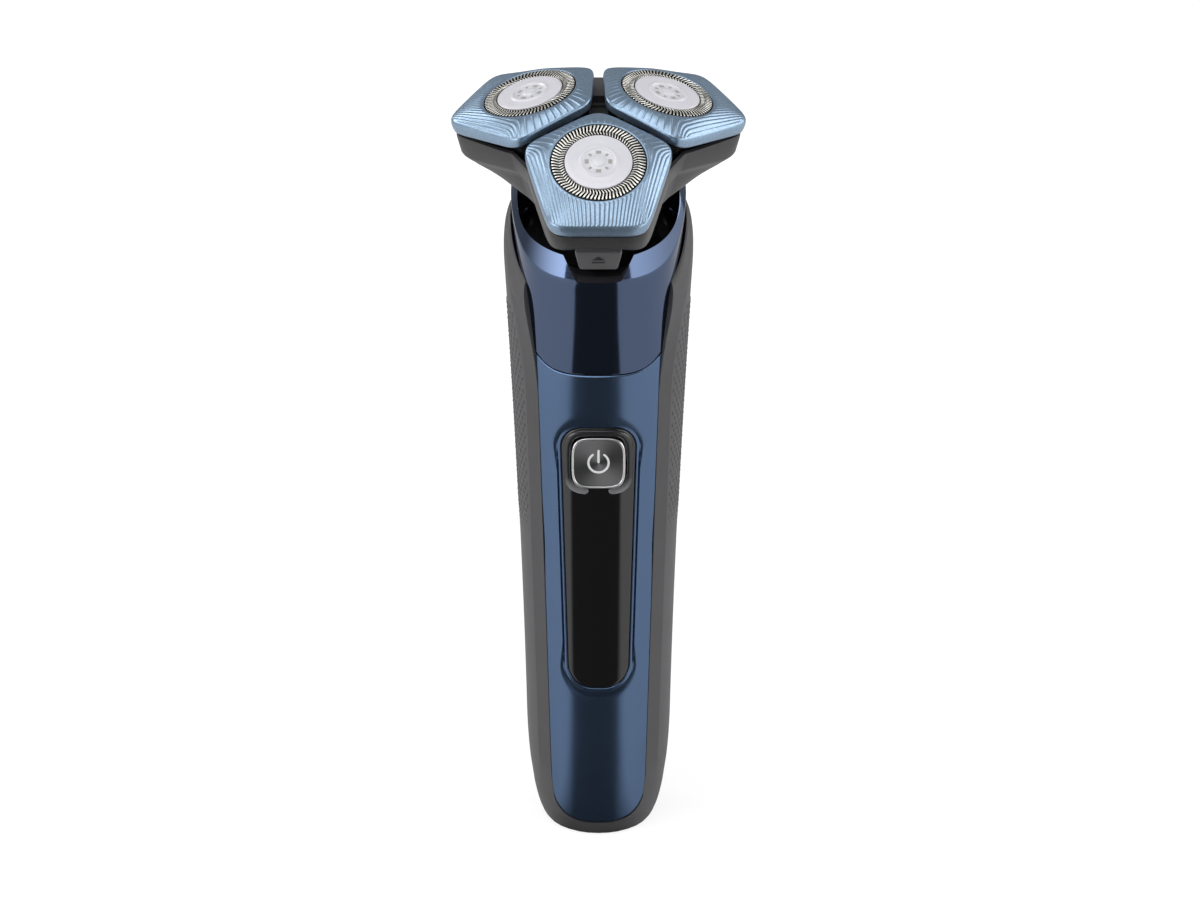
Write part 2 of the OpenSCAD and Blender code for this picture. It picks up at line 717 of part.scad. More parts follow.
module head_holder() {
    color(dark) in_unit() difference() {
        union() {
            translate([0, 0, floor_z + 0.9]) cylinder(r = 4.6, h = 3);
            for (a = [60, 180, 300]) rotate([0, 0, a]) {
                translate([-2, -14.6, floor_z + 0.9]) cube([4, 14.6, 2.6]);
                translate([-7.4, -15.2, floor_z + 2.1]) cube([14.8, 2.1, 2.1]);
            }
            for (i = [0 : 2]) rotate([0, 0, 120 * i]) translate([0, -orbit, ring_h])
                rotate([splay, 0, 0]) for (m = [0, 1]) mirror([m, 0, 0])
                    translate([7.9, -2.6, -pivot_d - 1.7]) cube([1.5, 4.2, 2.8]);
            // block between the two rear heads, and its hinge knuckle
            translate([-2, hinge_y - 7.5, floor_z + 0.9]) cube([4, 6.7, ring_h - 5.8 - floor_z]);
            translate([-3.6, hinge_y, hinge_z]) rotate([0, 90, 0]) cylinder(r = 2, h = 7.2);
        }
        translate([-5, hinge_y, hinge_z]) rotate([0, 90, 0]) cylinder(r = 1 + run, h = 10);
        for (i = [0 : 2]) rotate([0, 0, 120 * i]) translate([0, -orbit, ring_h])
            rotate([splay, 0, 0]) translate([-12, 0, -pivot_d]) rotate([0, 90, 0])
                cylinder(r = pin_r + run, h = 24);
    }
}

module gimbal_ring(i) {
    color(steel) at_head(i) translate([0, 0, -pivot_d]) difference() {
        union() {
            translate([0, 0, -1.2]) cylinder(r = ring_out, h = 2.4);
            translate([-9.2, 0, 0]) rotate([0, 90, 0]) cylinder(r = pin_r, h = 18.4);
        }
        translate([0, 0, -2]) cylinder(r = ring_in, h = 4);
        translate([0, 10, 0]) rotate([90, 0, 0]) cylinder(r = pin_r + run, h = 20);
    }
}

module cap(i) {
    as = [for (k = [0 : 59]) 6 * k];
    function drop(a) = 0.75 + 0.65 * sin(a) * sin(a);
    // the skirt is drawn in and shorter where two caps face each other
    function facing(a) = smooth(95, 135, abs(a > 180 ? a - 360 : a));
    function out(o, z, k, inset = 0, lift = 0) = [
        for (a = as)
            let(r = cap_r(a, o - inset * facing(a)))
            [r * sin(a), -r * cos(a), z + lift * facing(a) - k * drop(a)]
    ];
    function hole(r, z) = [for (a = as) [r * sin(a), -r * cos(a), z]];
    color(pale_blue) at_head(i) skin([
        out(-0.35, -4.7, 0, 0.55, 1), out(0, -2.2, 1, 0.45, 0.3), out(-0.15, -1.3, 1, 0.1),
        out(-0.6, -0.7, 1),
        out(-1.4, -0.35, 0.9), hole(guard_r + 0.9, -0.12), hole(guard_r + 0.15, -0.3),
        hole(guard_r + 0.15, -1.7), hole(guard_r + 1.15, -1.7), out(-2.2, -1.9, 0.6),
        out(-1.5, -2.9, 0.4), out(-1.5, -4.7, 0, 0, 1)
    ], true);
}

module guard(i) {
    color(steel) at_head(i) union() {
        translate([0, 0, -0.4]) linear_extrude(0.4) difference() {
            circle(r = guard_r);
            circle(r = plate_r);
            for (a = [0 : 12 : 348]) rotate(a) {
                translate([plate_r + 0.35, 0]) polygon([[0, -0.16], [0.9, 0.1], [0.9, 0.42], [0, 0.16]]);
                translate([guard_r - 1.05, 0]) polygon([[0, 0.1], [0.8, -0.2], [0.8, 0.12], [0, 0.42]]);
            }
        }
        rotate_extrude() polygon([
            [plate_r - 0.35, -1.1], [0, -1.1], [0, -0.8], [plate_r - 0.35, -0.8], [plate_r, -0.4],
            [plate_r, 0], [plate_r + 0.15, 0], [plate_r + 0.15, -0.5]
        ]);
        rotate_extrude() polygon([
            [guard_r - 0.3, -0.1], [guard_r, -0.1], [guard_r, -1.7], [guard_r + 0.95, -1.7],
            [guard_r + 0.95, -2.3],
            [guard_r, -2.3], [guard_r, -3.1], [guard_r - 0.3, -3.1]
        ]);
    }
}

module disc(i) {
    color(white) at_head(i) rotate_extrude() polygon([
        [0, -0.8], [disc_r - 0.3, -0.8], [disc_r, -0.45], [disc_r, 0.05], [disc_r - 0.2, 0.12],
        [4, 0.12], [3.8, 0.32],
        [3.4, 0.32], [3.2, 0.1], [1.5, 0.1], [1.35, 0.35], [1, 0.45], [0, 0.5]
    ]);
}

module retainer(i) {
    color(dark) at_head(i) difference() {
        union() {
            translate([0, 0, -4.6]) cylinder(r = hold_r, h = 1.5);
            for (s = [-1, 1]) {
                translate([-1.2, s > 0 ? 4 : 0.1 - hold_r, -5]) cube([2.4, hold_r - 4.1, 0.7]);
                translate([-1.2, s > 0 ? 4 : -5.6, -7.4]) cube([2.4, 1.6, 2.6]);
                translate([0, s > 0 ? 5 : -5, -pivot_d]) rotate([s > 0 ? -90 : 90, 0, 0])
                    cylinder(r = pin_r, h = 2.2);
            }
        }
        difference() {
            translate([0, 0, -4.7]) cylinder(r = guard_r - 0.25, h = 2);
            for (s = [-1, 1])
                translate([-1.2, s > 0 ? 4 : 0.1 - hold_r, -5]) cube([2.4, hold_r - 4.1, 0.7]);
        }
    }
}

module cutter(i) {
    color(steel) at_head(i) difference() {
        union() {
            translate([0, 0, -3.9]) cylinder(r = blade_r, h = 0.8);
            for (a = [0 : 40 : 320]) rotate([0, 0, a]) {
                translate([blade_r - 1.7, -0.25, -3.2]) cube([0.8, 0.5, 2.65]);
                translate([blade_r - 0.7, 0.5, -3.2]) cube([0.7, 0.5, 2.65]);
            }
            translate([0, 0, -7.6]) cylinder(r = 3, h = 4);
        }
        translate([0, 0, -8]) cylinder(r = 2.05, h = 3.5);
        translate([0, 0, -7.61]) cylinder(r1 = 2.5, r2 = 2.05, h = 0.9);
        for (a = [0 : 120 : 240]) rotate([0, 0, a]) translate([5.2, 0, -5]) cylinder(r = 1.3, h = 3);
    }
}

grip_shell();
front_panel();
collar();
collar_deck();
display_lens();
button_surround();
display_board();
board_link();
main_board();
tact_switch();
chassis();
battery();
battery_tabs();
motor_mount();
motor_can();
motor_cap();
shaft_seal();
socket_housing();
socket_pins();
board_screws();
motor_screws();
motor_shaft();
motor_armature();
drive_dog();
power_button();
button_ring();
unit_base();
bowl_plate();
hinge_pin();
plate_screws();
release_button();
sun_gear();
planet_gear(1);  // planet_gear_1
planet_gear(2);  // planet_gear_2
planet_gear(3);  // planet_gear_3
head_holder();
gimbal_ring(1);  // gimbal_ring_1
gimbal_ring(2);  // gimbal_ring_2
gimbal_ring(3);  // gimbal_ring_3
cap(1);  // cap_1
cap(2);  // cap_2
cap(3);  // cap_3
guard(1);  // guard_1
guard(2);  // guard_2
guard(3);  // guard_3
disc(1);  // disc_1
disc(2);  // disc_2
disc(3);  // disc_3
retainer(1);  // retainer_1
retainer(2);  // retainer_2
retainer(3);  // retainer_3
cutter(1);  // cutter_1
cutter(2);  // cutter_2
cutter(3);  // cutter_3
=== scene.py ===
# %% The packed frame
import json
import math

import bmesh
import bpy
import numpy as np
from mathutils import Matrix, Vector


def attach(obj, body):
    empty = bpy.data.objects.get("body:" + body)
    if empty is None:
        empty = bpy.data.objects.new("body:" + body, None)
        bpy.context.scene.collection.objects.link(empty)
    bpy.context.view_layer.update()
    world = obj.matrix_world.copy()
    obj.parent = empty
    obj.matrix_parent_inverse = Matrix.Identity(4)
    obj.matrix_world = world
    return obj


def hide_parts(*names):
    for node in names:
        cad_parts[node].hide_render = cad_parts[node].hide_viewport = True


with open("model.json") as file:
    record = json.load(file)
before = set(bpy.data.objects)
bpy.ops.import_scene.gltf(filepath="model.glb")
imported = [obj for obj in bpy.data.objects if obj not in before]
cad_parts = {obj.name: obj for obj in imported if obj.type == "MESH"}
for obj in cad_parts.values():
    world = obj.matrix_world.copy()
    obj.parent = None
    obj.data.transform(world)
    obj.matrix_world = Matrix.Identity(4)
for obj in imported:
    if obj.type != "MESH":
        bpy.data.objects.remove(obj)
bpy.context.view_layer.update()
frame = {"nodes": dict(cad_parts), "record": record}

nodes = frame["nodes"]
print("frame of", len(nodes), "nodes")

# %% [markdown]
# The shaver stands upright and is seen from the front and a little above. A long lens
# from nearly a metre keeps its sides almost parallel. The picture's middle lies a hair
# to the right of the handle, so the camera has a tiny shift and no turn.

# %% Camera
MM = 0.001
scene = bpy.context.scene
scene.view_settings.view_transform = "Standard"
camera = bpy.data.objects.new("camera", bpy.data.cameras.new("camera"))
scene.collection.objects.link(camera)
CAMERA_RISE = math.radians(20)
CAMERA_AWAY = 0.97
CAMERA_AIM_Z = 0.08245
camera.data.lens = 138.3
camera.data.sensor_width = 36
camera.data.shift_x = 0.00125
back, up = CAMERA_AWAY * math.cos(CAMERA_RISE), CAMERA_AWAY * math.sin(CAMERA_RISE)
camera.location = (0, -back, CAMERA_AIM_Z + up)
camera.rotation_euler = (math.radians(90) - CAMERA_RISE, 0, 0)
camera.data.clip_start = 0.01
scene.camera = camera
print("camera", CAMERA_AWAY, "m away")

# %% [markdown]
# A finish is a small tree of shader nodes. Wiring nodes one by one hides the idea, so
# a socket is wrapped in a class whose sums and products add the Math nodes by
# themselves. Then a finish reads like the formula that it is.

# %% Shader sums


def operator(operation, swapped=False):
    def work(wire, other):
        a, b = (other, wire) if swapped else (wire, other)
        return wire.finish.maths(operation, a, b)

    return work


class Wire:
    """A socket of a finish that can be used in Python expressions."""

    def __init__(self, finish, socket):
        self.finish = finish
        self.socket = socket

    __add__, __radd__ = operator("ADD"), operator("ADD", True)
    __sub__, __rsub__ = operator("SUBTRACT"), operator("SUBTRACT", True)
    __mul__, __rmul__ = operator("MULTIPLY"), operator("MULTIPLY", True)


print("sums that a wire knows: + - *")

# %% [markdown]
# A finish is a material with the usual Principled shader. Its constants go straight onto
# the shader's sockets, and a wire is linked to its socket instead. A few short methods add
# the textures that come back in nearly every finish. They all start from Object
# coordinates, so a grain keeps its size on any piece.

# %% A finish


class Finish:
    """A material built from expressions, with constants on the shader's own sockets."""

    def __init__(self, name, **constants):
        self.material = bpy.data.materials.new(name)
        self.material.use_nodes = True
        self.tree = self.material.node_tree
        self.tree.nodes.clear()
        self.shader = self.tree.nodes.new("ShaderNodeBsdfPrincipled")
        out = self.tree.nodes.new("ShaderNodeOutputMaterial")
        self.tree.links.new(self.shader.outputs[0], out.inputs[0])
        for key, value in constants.items():
            self.set(key.replace("_", " ").title(), value)

    def set(self, socket, value):
        self.fill(self.shader.inputs[socket], value)

    def fill(self, target, value):
        """Links a wire to a socket, or sets the socket to a number or a colour."""
        if isinstance(value, Wire):
            self.tree.links.new(value.socket, target)
        else:
            target.default_value = (*value, 1) if target.type == "RGBA" else value

    def node(self, kind, settings=None, sockets=None, output=0):
        made = self.tree.nodes.new(kind)
        for key, value in (settings or {}).items():
            setattr(made, key, value)
        for key, value in (sockets or {}).items():
            self.fill(made.inputs[key], value)
        return Wire(self, made.outputs[output])

    def maths(self, operation, *values):
        return self.node("ShaderNodeMath", {"operation": operation}, dict(enumerate(values)))

    def place(self):
        return self.node("ShaderNodeTexCoord", output=3)

    def axes(self, at=None):
        """The x, y and z of a place, each as a wire of its own."""
        first = self.node("ShaderNodeSeparateXYZ", None, {0: at or self.place()})
        return [Wire(self, part) for part in first.socket.node.outputs]

    def noise(self, scale, detail, stretch=None):
        at = self.place()
        if stretch:
            at = self.node("ShaderNodeVectorMath", {"operation": "MULTIPLY"}, {0: at, 1: stretch})
        return self.node("ShaderNodeTexNoise", None, {"Vector": at, "Scale": scale, "Detail": detail})

    def ramp(self, value, low, high):
        return self.node("ShaderNodeMapRange", None, {0: value, 1: low, 2: high})

    def blend(self, amount, first, second):
        return self.node("ShaderNodeMix", {"data_type": "RGBA"}, {0: amount, 6: first, 7: second}, 2)

    def tone(self, amount, colour, low, high):
        """A base colour that varies between two shares of a colour."""
        dark, light = (tuple(min(1, c * share) for c in colour) for share in (low, high))
        self.set("Base Color", self.blend(amount, dark, light))

    def bump(self, height, distance, strength):
        self.set("Normal", self.node("ShaderNodeBump", None,
                                     {"Height": height, "Distance": distance, "Strength": strength}))


print("methods of a finish:", [m for m in vars(Finish) if not m.startswith("_")])

# %% [markdown]
# Each finish below is one that the real shaver has. The grip is a soft coating with a
# very fine grain. The front is lacquer over metal flakes, satin on the panel and wet
# and deep on the collar. The caps have the same flakes under a paler, milkier lacquer.
# The grain sizes are given as noise scales per metre, so a scale of 4000 is a grain
# of about a quarter of a millimetre. Three kinds cover nearly all of them: moulded
# plastic, flakes under lacquer, and ground metal.

# %% Kinds of finish
finishes = {}


def finish(name, **constants):
    finishes[name] = Finish(name, **constants)
    return finishes[name]


def moulded(name, tone, rough, grain=5000, depth=0.00002, drift=0.12, coat=0.0):
    """Moulded plastic: a little colour drift, and a grain that also breaks up the gloss."""
    f = finish(name, coat_weight=coat, coat_roughness=0.08)
    cloud = f.noise(160, 2)
    fine = f.noise(grain, 2)
    f.tone(cloud, tone, 1 - drift, 1 + drift)
    f.set("Roughness", rough - 0.06 + 0.12 * fine)
    f.bump(fine, depth, 0.5)
    return f


def flaked(name, tone, rough, metal, coat, sparkle, coat_rough, size=9000.0):
    """Metal flakes under lacquer: cells that each vary in brightness and in tilt."""
    f = finish(name, coat_weight=coat, coat_roughness=coat_rough, metallic=metal)
    cells = f.node("ShaderNodeTexVoronoi", None, {"Vector": f.place(), "Scale": size}, 1)
    each = f.node("ShaderNodeSeparateColor", None, {0: cells})
    drift = f.noise(90, 2)
    f.tone(0.7 * each + 0.3 * drift, tone, 1 - sparkle, 1 + sparkle)
    f.set("Roughness", rough - 0.03 + 0.06 * drift)
    f.bump(each, 0.000004, 0.25)
    return f


def ground(name, tone, rough, scale=3000, stretch=None, metal=1.0):
    """Bare metal with fine grinding lines along the axis that is stretched."""
    f = finish(name, metallic=metal)
    lines = f.noise(scale, 3, stretch)
    f.tone(lines, tone, 0.86, 1.1)
    f.set("Roughness", rough - 0.05 + 0.14 * lines)
    f.bump(lines, 0.000006, 0.3)
    return f


print("kinds of finish:", [kind.__name__ for kind in (moulded, flaked, ground)])

# %% [markdown]
# Now the list. The tones are linear colours, and each was set by comparing renders with
# the photograph under this light, the blue of the panel first of all. The inner pieces
# get plain versions of what such pieces have: green board, wrapped cell, copper, steel.

# %% Finishes
flaked("satin_blue", (0.107, 0.175, 0.306), 0.22, 0.95, 0.3, 0.08, 0.2)
flaked("gloss_blue", (0.07, 0.105, 0.19), 0.07, 1.0, 0.6, 0.04, 0.02)
flaked("pale_blue", (0.3, 0.42, 0.56), 0.34, 0.8, 0.2, 0.18, 0.25, 4200.0)
moulded("soft_dark", (0.087, 0.087, 0.091), 0.5, 4200, 0.00004, 0.06)
moulded("matt_dark", (0.085, 0.085, 0.09), 0.42, 5200, 0.00003, 0.06)
moulded("matt_black", (0.018, 0.018, 0.02), 0.4, 5200, 0.00003)
moulded("gloss_black", (0.045, 0.044, 0.052), 0.12, 2500, 0.000003, 0.1, 0.5)
moulded("lens_black", (0.004, 0.004, 0.005), 0.06, 1500, 0.000001, 0.1, 1.0)
moulded("release_grey", (0.13, 0.13, 0.135), 0.4, 4800, 0.00003, 0.06)
moulded("bowl_grey", (0.046, 0.045, 0.047), 0.36, 5200, 0.00003, 0.06)
moulded("seal", (0.02, 0.02, 0.02), 0.6)
moulded("gear_white", (0.72, 0.72, 0.69), 0.4, 3800)
moulded("cell_wrap", (0.06, 0.16, 0.32), 0.25, 1800, 0.00001)
moulded("board", (0.01, 0.1, 0.035), 0.38, 2600)
moulded("symbol_white", (0.95, 0.95, 0.96), 0.35, 3000, 0.00001, 0.03)
moulded("symbol_dark", (0.02, 0.02, 0.022), 0.5, 3000)
ground("steel", (0.56, 0.55, 0.54), 0.3)
ground("chrome_trim", (0.97, 0.97, 0.98), 0.3, 900)
ground("winding", (0.55, 0.27, 0.1), 0.35, 5000, (1, 1, 0.05))
ground("guard_steel", (0.97, 0.94, 0.87), 0.36, 2600)
# painted shade: a dark steel for faces deep in the guards' slots and for the cutters under them
ground("painted_slot_shade", (0.024, 0.022, 0.02), 0.45, 2600, metal=0.6)
moulded("disc_mark", (0.42, 0.42, 0.4), 0.4, 3000)
print("finishes:", len(finishes))

# %% [markdown]
# Three finishes have a rule of their own. The white discs are pearly: a milky white
# that turns a little violet in soft clouds. The black band round the power button pales
# towards its two lower ends, a painted highlight where it bends to the light. The button
# is brushed round its middle, so its lines follow the angle there, which the arctangent
# gives; two bright wedges across it are painted highlights on top of the brush lines.

# %% Pearl, band and brushed finishes
BUTTON_Z = 85.0
pearl = finish("pearl_white", coat_weight=0.6, coat_roughness=0.06, roughness=0.28)
pearl.set("Base Color", pearl.blend(pearl.noise(220, 3), (0.73, 0.72, 0.79), (0.83, 0.83, 0.88)))
pearl.bump(pearl.noise(2400, 2), 0.000004, 0.4)

band_black_painted_highlight = finish("satin_black_painted_highlight", coat_weight=0.5, coat_roughness=0.06)
_, _, height = band_black_painted_highlight.axes()
# painted highlight: the band's colour pales towards its two lower ends
painted_highlight_low_ends = band_black_painted_highlight.ramp(BUTTON_Z * MM - height, 0.0035, 0.0075)
band_black_painted_highlight.set("Base Color", band_black_painted_highlight.blend(painted_highlight_low_ends, (0.022, 0.022, 0.024), (0.3, 0.3, 0.31)))
band_black_painted_highlight.set("Roughness", 0.16 + 0.08 * band_black_painted_highlight.noise(3600, 2))

brushed = finish("button_face", coat_weight=0.3, coat_roughness=0.1, metallic=0.55)
across, _, height = brushed.axes()
bearing = brushed.maths("ARCTAN2", across, height - BUTTON_Z * MM)
spokes = brushed.node("ShaderNodeTexNoise", {"noise_dimensions": "1D"},
                      {"W": bearing * 40, "Scale": 3.0, "Detail": 4.0})
# the cosine term paints two bright wedges, a painted highlight; the spokes are the real brush lines
brush_lines_and_painted_sheen = 0.3 + 0.3 * brushed.maths("COSINE", bearing * 2 + 0.7) + 0.55 * (spokes - 0.3)
brushed.set("Base Color", brushed.blend(brush_lines_and_painted_sheen, (0.03, 0.03, 0.031), (0.4, 0.4, 0.41)))
brushed.set("Roughness", 0.28 + 0.2 * spokes)
brushed.bump(spokes, 0.000008, 0.4)
print("finishes in all:", len(finishes))

# %% [markdown]
# The handle is not round: its section is a soft square whose width and depth change
# smoothly along its height. The same few rules give every outer piece, so the pieces
# meet along their seams without any fitting. A size is given at three heights and a
# parabola runs through them. All these sizes are in millimetres.

# %% Rules of the handle's shape
SHOULDER = 130.0  # height of the collar's shoulder
FLAT = 2.15  # power of the soft square: 2 would be an ellipse
BASE_H = 24.0  # the handle draws in below this height


def mix(a, b, t):
    return a + (b - a) * t


def smooth(a, b, x):
    t = np.clip((np.asarray(x, float) - a) / (b - a), 0, 1)
    return t * t * (3 - 2 * t)


def along(z, low, middle, top):
    """A size that is given at three heights and runs smoothly through them."""
    a, b, c = 0.154 * SHOULDER, 0.546 * SHOULDER, SHOULDER
    return (low * (z - b) * (z - c) / ((a - b) * (a - c))
            + middle * (z - a) * (z - c) / ((b - a) * (b - c))
            + top * (z - a) * (z - b) / ((c - a) * (c - b)))


def base_in(z):
    z = np.asarray(z, float)
    return np.where(z >= BASE_H, 0, 4.4 * (1 - np.sqrt(np.clip(1 - (1 - z / BASE_H) ** 2, 0, 1))))


def half_w(z):
    return along(z, 15.25, 16.8, 19.9) - base_in(z)


def front_d(z):
    return along(z, 14.5, 14.6, 18) - 0.45 * base_in(z)


def back_d(z):
    return along(z, 14.6, 17.2, 19.6) - 0.6 * base_in(z)


def body_at(t, z, inset, inset_front):
    """Points of the section at angles t from the front, moved in by the insets."""
    s, c = np.sin(np.radians(t)), np.cos(np.radians(t))
    s = np.sign(s) * np.abs(s) ** (2 / FLAT)
    c = np.sign(c) * np.abs(c) ** (2 / FLAT)
    z = z + 0 * s
    y = np.where(c > 0, -(front_d(z) - inset_front) * c, -(back_d(z) - inset) * c)
    return np.stack([(half_w(z) - inset) * s, y, z], -1)


print("handle at mid height:", [round(float(f(70)), 1) for f in (half_w, front_d, back_d)])

# %% [markdown]
# Most outer pieces are grids: rows of points that follow a rule. Faces go between
# neighbours in the grid, and an end is filled by a fan of faces from a middle point.
# After that the doubles are merged, the normals are turned outwards, and edges that are
# sharper than a given angle stay crisp while the rest is shaded smooth. A modifier could
# thicken a sheet, but with an inner grid the inside can have a shape of its own.

# %% From grids to pieces


def quads(grid):
    """Four-sided faces between the neighbours in a grid of point numbers."""
    a, b, c, d = grid[:-1, :-1], grid[:-1, 1:], grid[1:, 1:], grid[1:, :-1]
    return np.stack([a, b, c, d], -1).reshape(-1, 4).tolist()


def fan(middle, line):
    """Three-sided faces from a middle point to a line of point numbers."""
    return [[middle, int(a), int(b)] for a, b in zip(line[:-1], line[1:])]


def shaded(made, crisp):
    """Smooth shading, but for edges that are sharper than the given angle."""
    made.data.shade_smooth()
    made.data.set_sharp_from_angle(angle=math.radians(crisp))
    return made


def make(name, shape, finish_name, crisp=32.0):
    """A mesh object in the shaver's axes, merged, turned outwards and shaded."""
    points, faces = shape
    mesh = bpy.data.meshes.new(name)
    mesh.from_pydata((np.asarray(points) * MM).tolist(), [], faces)
    work = bmesh.new()
    work.from_mesh(mesh)
    bmesh.ops.remove_doubles(work, verts=work.verts, dist=2e-7)
    bmesh.ops.dissolve_degenerate(work, edges=work.edges, dist=1e-7)
    bmesh.ops.recalc_face_normals(work, faces=work.faces)
    work.to_mesh(mesh)
    work.free()
    mesh.materials.append(finishes[finish_name].material)
    made = bpy.data.objects.new(name, mesh)
    scene.collection.objects.link(made)
    return shaded(made, crisp)


def settle(made, body, slot, *stands_for):
    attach(made, body)
    if stands_for:
        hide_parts(*stands_for)
    return made


print("faces of a grid of 3 by 4 points:", len(quads(np.arange(12).reshape(3, 4))))

# %% [markdown]
# The grip is one soft-touch moulding: base, back and sides, open at the front. It has
# three lines to follow. Its front edge runs along the panel, which narrows to a round end
# below. A crease divides the flat band beside the panel from the rounder side. And its
# top rises to the back with the collar's bevel.

# %% Lines of the grip
SIDE_LOW = 13.0  # the panel's straight sides end here
LOW_DROP = 10.2  # its rounded lower edge goes this far below
LOW_POWER = 3.1
CREASE_OUT, CREASE_H = 2.5, 0.8


def edge_full(z):
    """Half the panel's width, without its rounded lower end."""
    return 10.05 + 0.0285 * (z - 12) + 5 * smooth(SHOULDER - 32, SHOULDER + 10, z)


def edge(z):
    z = np.asarray(z, float)
    u = np.clip(1 - np.clip((SIDE_LOW - z) / LOW_DROP, 0, 1) ** LOW_POWER, 0, 1) ** (1 / LOW_POWER)
    return edge_full(z) * np.where(z >= SIDE_LOW, 1, u)


def outer_z(t):
    """Height of the collar's outer edge, which rises from the front to the back."""
    y = -17.6 * np.cos(np.radians(t))
    return SHOULDER + 4 + 10 * np.tanh((y + 4) / 9)


def angle_of(x, z):
    """The section's angle at which its half width is x."""
    return np.degrees(np.arcsin(np.clip(x / half_w(z), 0, 1) ** (FLAT / 2)))


def crease_x(z):
    return np.minimum(edge_full(z) + CREASE_OUT, half_w(z) - 0.9)


def crease_up(x, z):
    """How far the crease stands out, as a low tent over the section's curve."""
    c = crease_x(z)
    a = np.abs(x)
    wide = np.where(a < c, CREASE_OUT, np.maximum(0.8, half_w(z) - c))
    fade = smooth(6, 24, z) * (1 - smooth(SHOULDER - 24, SHOULDER - 8, z))
    return CREASE_H * fade * np.clip(1 - np.abs(a - c) / wide, 0, 1)


def grip_skin(t, z, inset=0.0):
    points = body_at(t, z, inset, inset)
    if inset < 0.01:
        points[:, 1] -= np.where(points[:, 1] < 0, crease_up(points[:, 0], z), 0)
    return points


print("panel edge and crease at mid height:", round(float(edge(70)), 2), round(float(crease_x(70)), 2))

# %% [markdown]
# The columns of the grip's grid are placed on these lines, so that the crease is a true
# edge. Where a row meets a line depends on the row's height there, and that height again
# on the angle, so the angle is closed in on by small steps. The rows follow the round
# end of the panel below and the slant of the top above. The inner grid gives the wall.

# %% Rows of the grip
GRIP_WALL = 2.0
GRIP_FLOOR = 2.2
BAND = 7  # columns of the flat band beside the panel
FLANK = 62


def angle_on(line, height, guess):
    """The angle at which a row meets an upright line, closed in on by small steps."""
    for k in range(12):
        z = height(guess)
        guess = mix(guess, float(angle_of(line(z), z)), 0.7)
    return guess


def grip_row(height, inset):
    """One row from the panel's edge round the back to the other edge."""
    start = angle_on(edge, height, 40.0)
    crease = max(angle_on(crease_x, height, 60.0), start + 1.0)
    flank = mix(crease, 180.0, np.linspace(0, 1, FLANK)[1:] ** 1.15)
    t = np.concatenate([np.linspace(start, crease, BAND), flank])
    z = np.array([height(a) for a in t])
    points = grip_skin(t, z, inset)
    level = smooth(6, 20, z[0]) if inset < 0.1 else 0.0
    chord = mix(points[0], points[BAND - 1], np.linspace(0, 1, BAND)[:, None])
    points[:BAND] = mix(points[:BAND], chord, float(level))
    return np.concatenate([points, points[-2::-1] * [-1, 1, 1]])


def grip_top(t):
    return float(outer_z(t)) - 5.5


rows_out, rows_in = [], []


def add_row(height, inset=0.0, height_in=None, inset_in=GRIP_WALL):
    rows_out.append(grip_row(height, inset))
    rows_in.append(grip_row(height_in or height, inset_in))


FOOT_ROWS = (0.0, 0.35, 0.9, 1.5)
for z in FOOT_ROWS:
    add_row(lambda t: z, height_in=lambda t: GRIP_FLOOR)
rows_out[0] *= [0.985, 0.985, 1]
for u in np.linspace(0, 1, 22):
    z = SIDE_LOW - LOW_DROP * (1 - u ** LOW_POWER) ** (1 / LOW_POWER)
    add_row(lambda t: z, height_in=lambda t: max(z, GRIP_FLOOR))
for k in np.linspace(0, 1, 60)[1:]:
    add_row(lambda t: mix(SIDE_LOW, grip_top(t) - 8, k))
TOP_ROWS = ((-6.5, 0.03), (-5, 0.12), (-3.8, 0.27), (-2.6, 0.5), (-1.6, 0.8), (-0.9, 1.1), (-0.3, 1.5),
            (0, 1.85))
for drop, inset in TOP_ROWS:
    add_row(lambda t: grip_top(t) + drop, inset, lambda t: grip_top(t) + min(drop, -0.6), 2.08)
rows, cols = len(rows_out), len(rows_out[0])
print("grip rows and columns:", rows, cols)

# %% [markdown]
# Between the outer and the inner grid go the faces of the top edge and of the two front
# edges. Below the panel's round end the two edges meet, and there fans close the base.

# %% Grip
out = np.arange(rows * cols).reshape(rows, cols)
back = out + out.size
faces = quads(out) + quads(back[::-1]) + quads(np.stack([out[-1], back[-1]]))
for side in (0, -1):
    faces += quads(np.stack([out[len(FOOT_ROWS):, side], back[len(FOOT_ROWS):, side]]))
middle = 2 * out.size
points = np.concatenate([*rows_out, *rows_in, [[0, 0, 0], [0, 0, GRIP_FLOOR]]])
faces += fan(middle, out[0][::-1]) + fan(middle + 1, back[0])
GRIP_CRISP = 14
grip = make("grip", (points, faces), "soft_dark", GRIP_CRISP)
print("grip faces:", len(grip.data.polygons))

# %% [markdown]
# In the base an opening is left for the charging plug. A Boolean takes a plain box out of
# the grip. It is worked into the mesh at once, so that no modifier stays behind.

# %% Charging inlet


def baked(made):
    """The object's modifiers worked into its mesh."""
    graph = bpy.context.evaluated_depsgraph_get()
    mesh = bpy.data.meshes.new_from_object(made.evaluated_get(graph))
    made.modifiers.clear()
    made.data = mesh
    return made


def cut_by(made, tool):
    """Takes the tool's solid out of a piece."""
    cut = made.modifiers.new("cut", "BOOLEAN")
    cut.operation = "DIFFERENCE"
    cut.solver = "EXACT"
    cut.object = tool
    cut.material_mode = "TRANSFER"
    baked(made)
    bpy.data.objects.remove(tool)
    return made


def block(low, high):
    """Points and faces of a plain box between two corners."""
    x, y, z = zip(low, high)
    p = [[x[i], y[j], z[k]] for k in (0, 1) for j in (0, 1) for i in (0, 1)]
    f = [[0, 2, 3, 1], [4, 5, 7, 6], [0, 1, 5, 4], [2, 6, 7, 3], [0, 4, 6, 2], [1, 3, 7, 5]]
    return np.array(p, float), f


cut_by(grip, make("inlet_cutter", block((-5.1, 1.5, -2), (5.1, 9.1, 7)), "soft_dark"))
shaded(grip, GRIP_CRISP)
settle(grip, "handle", "soft_dark", "grip_shell")
print("grip faces:", len(grip.data.polygons))

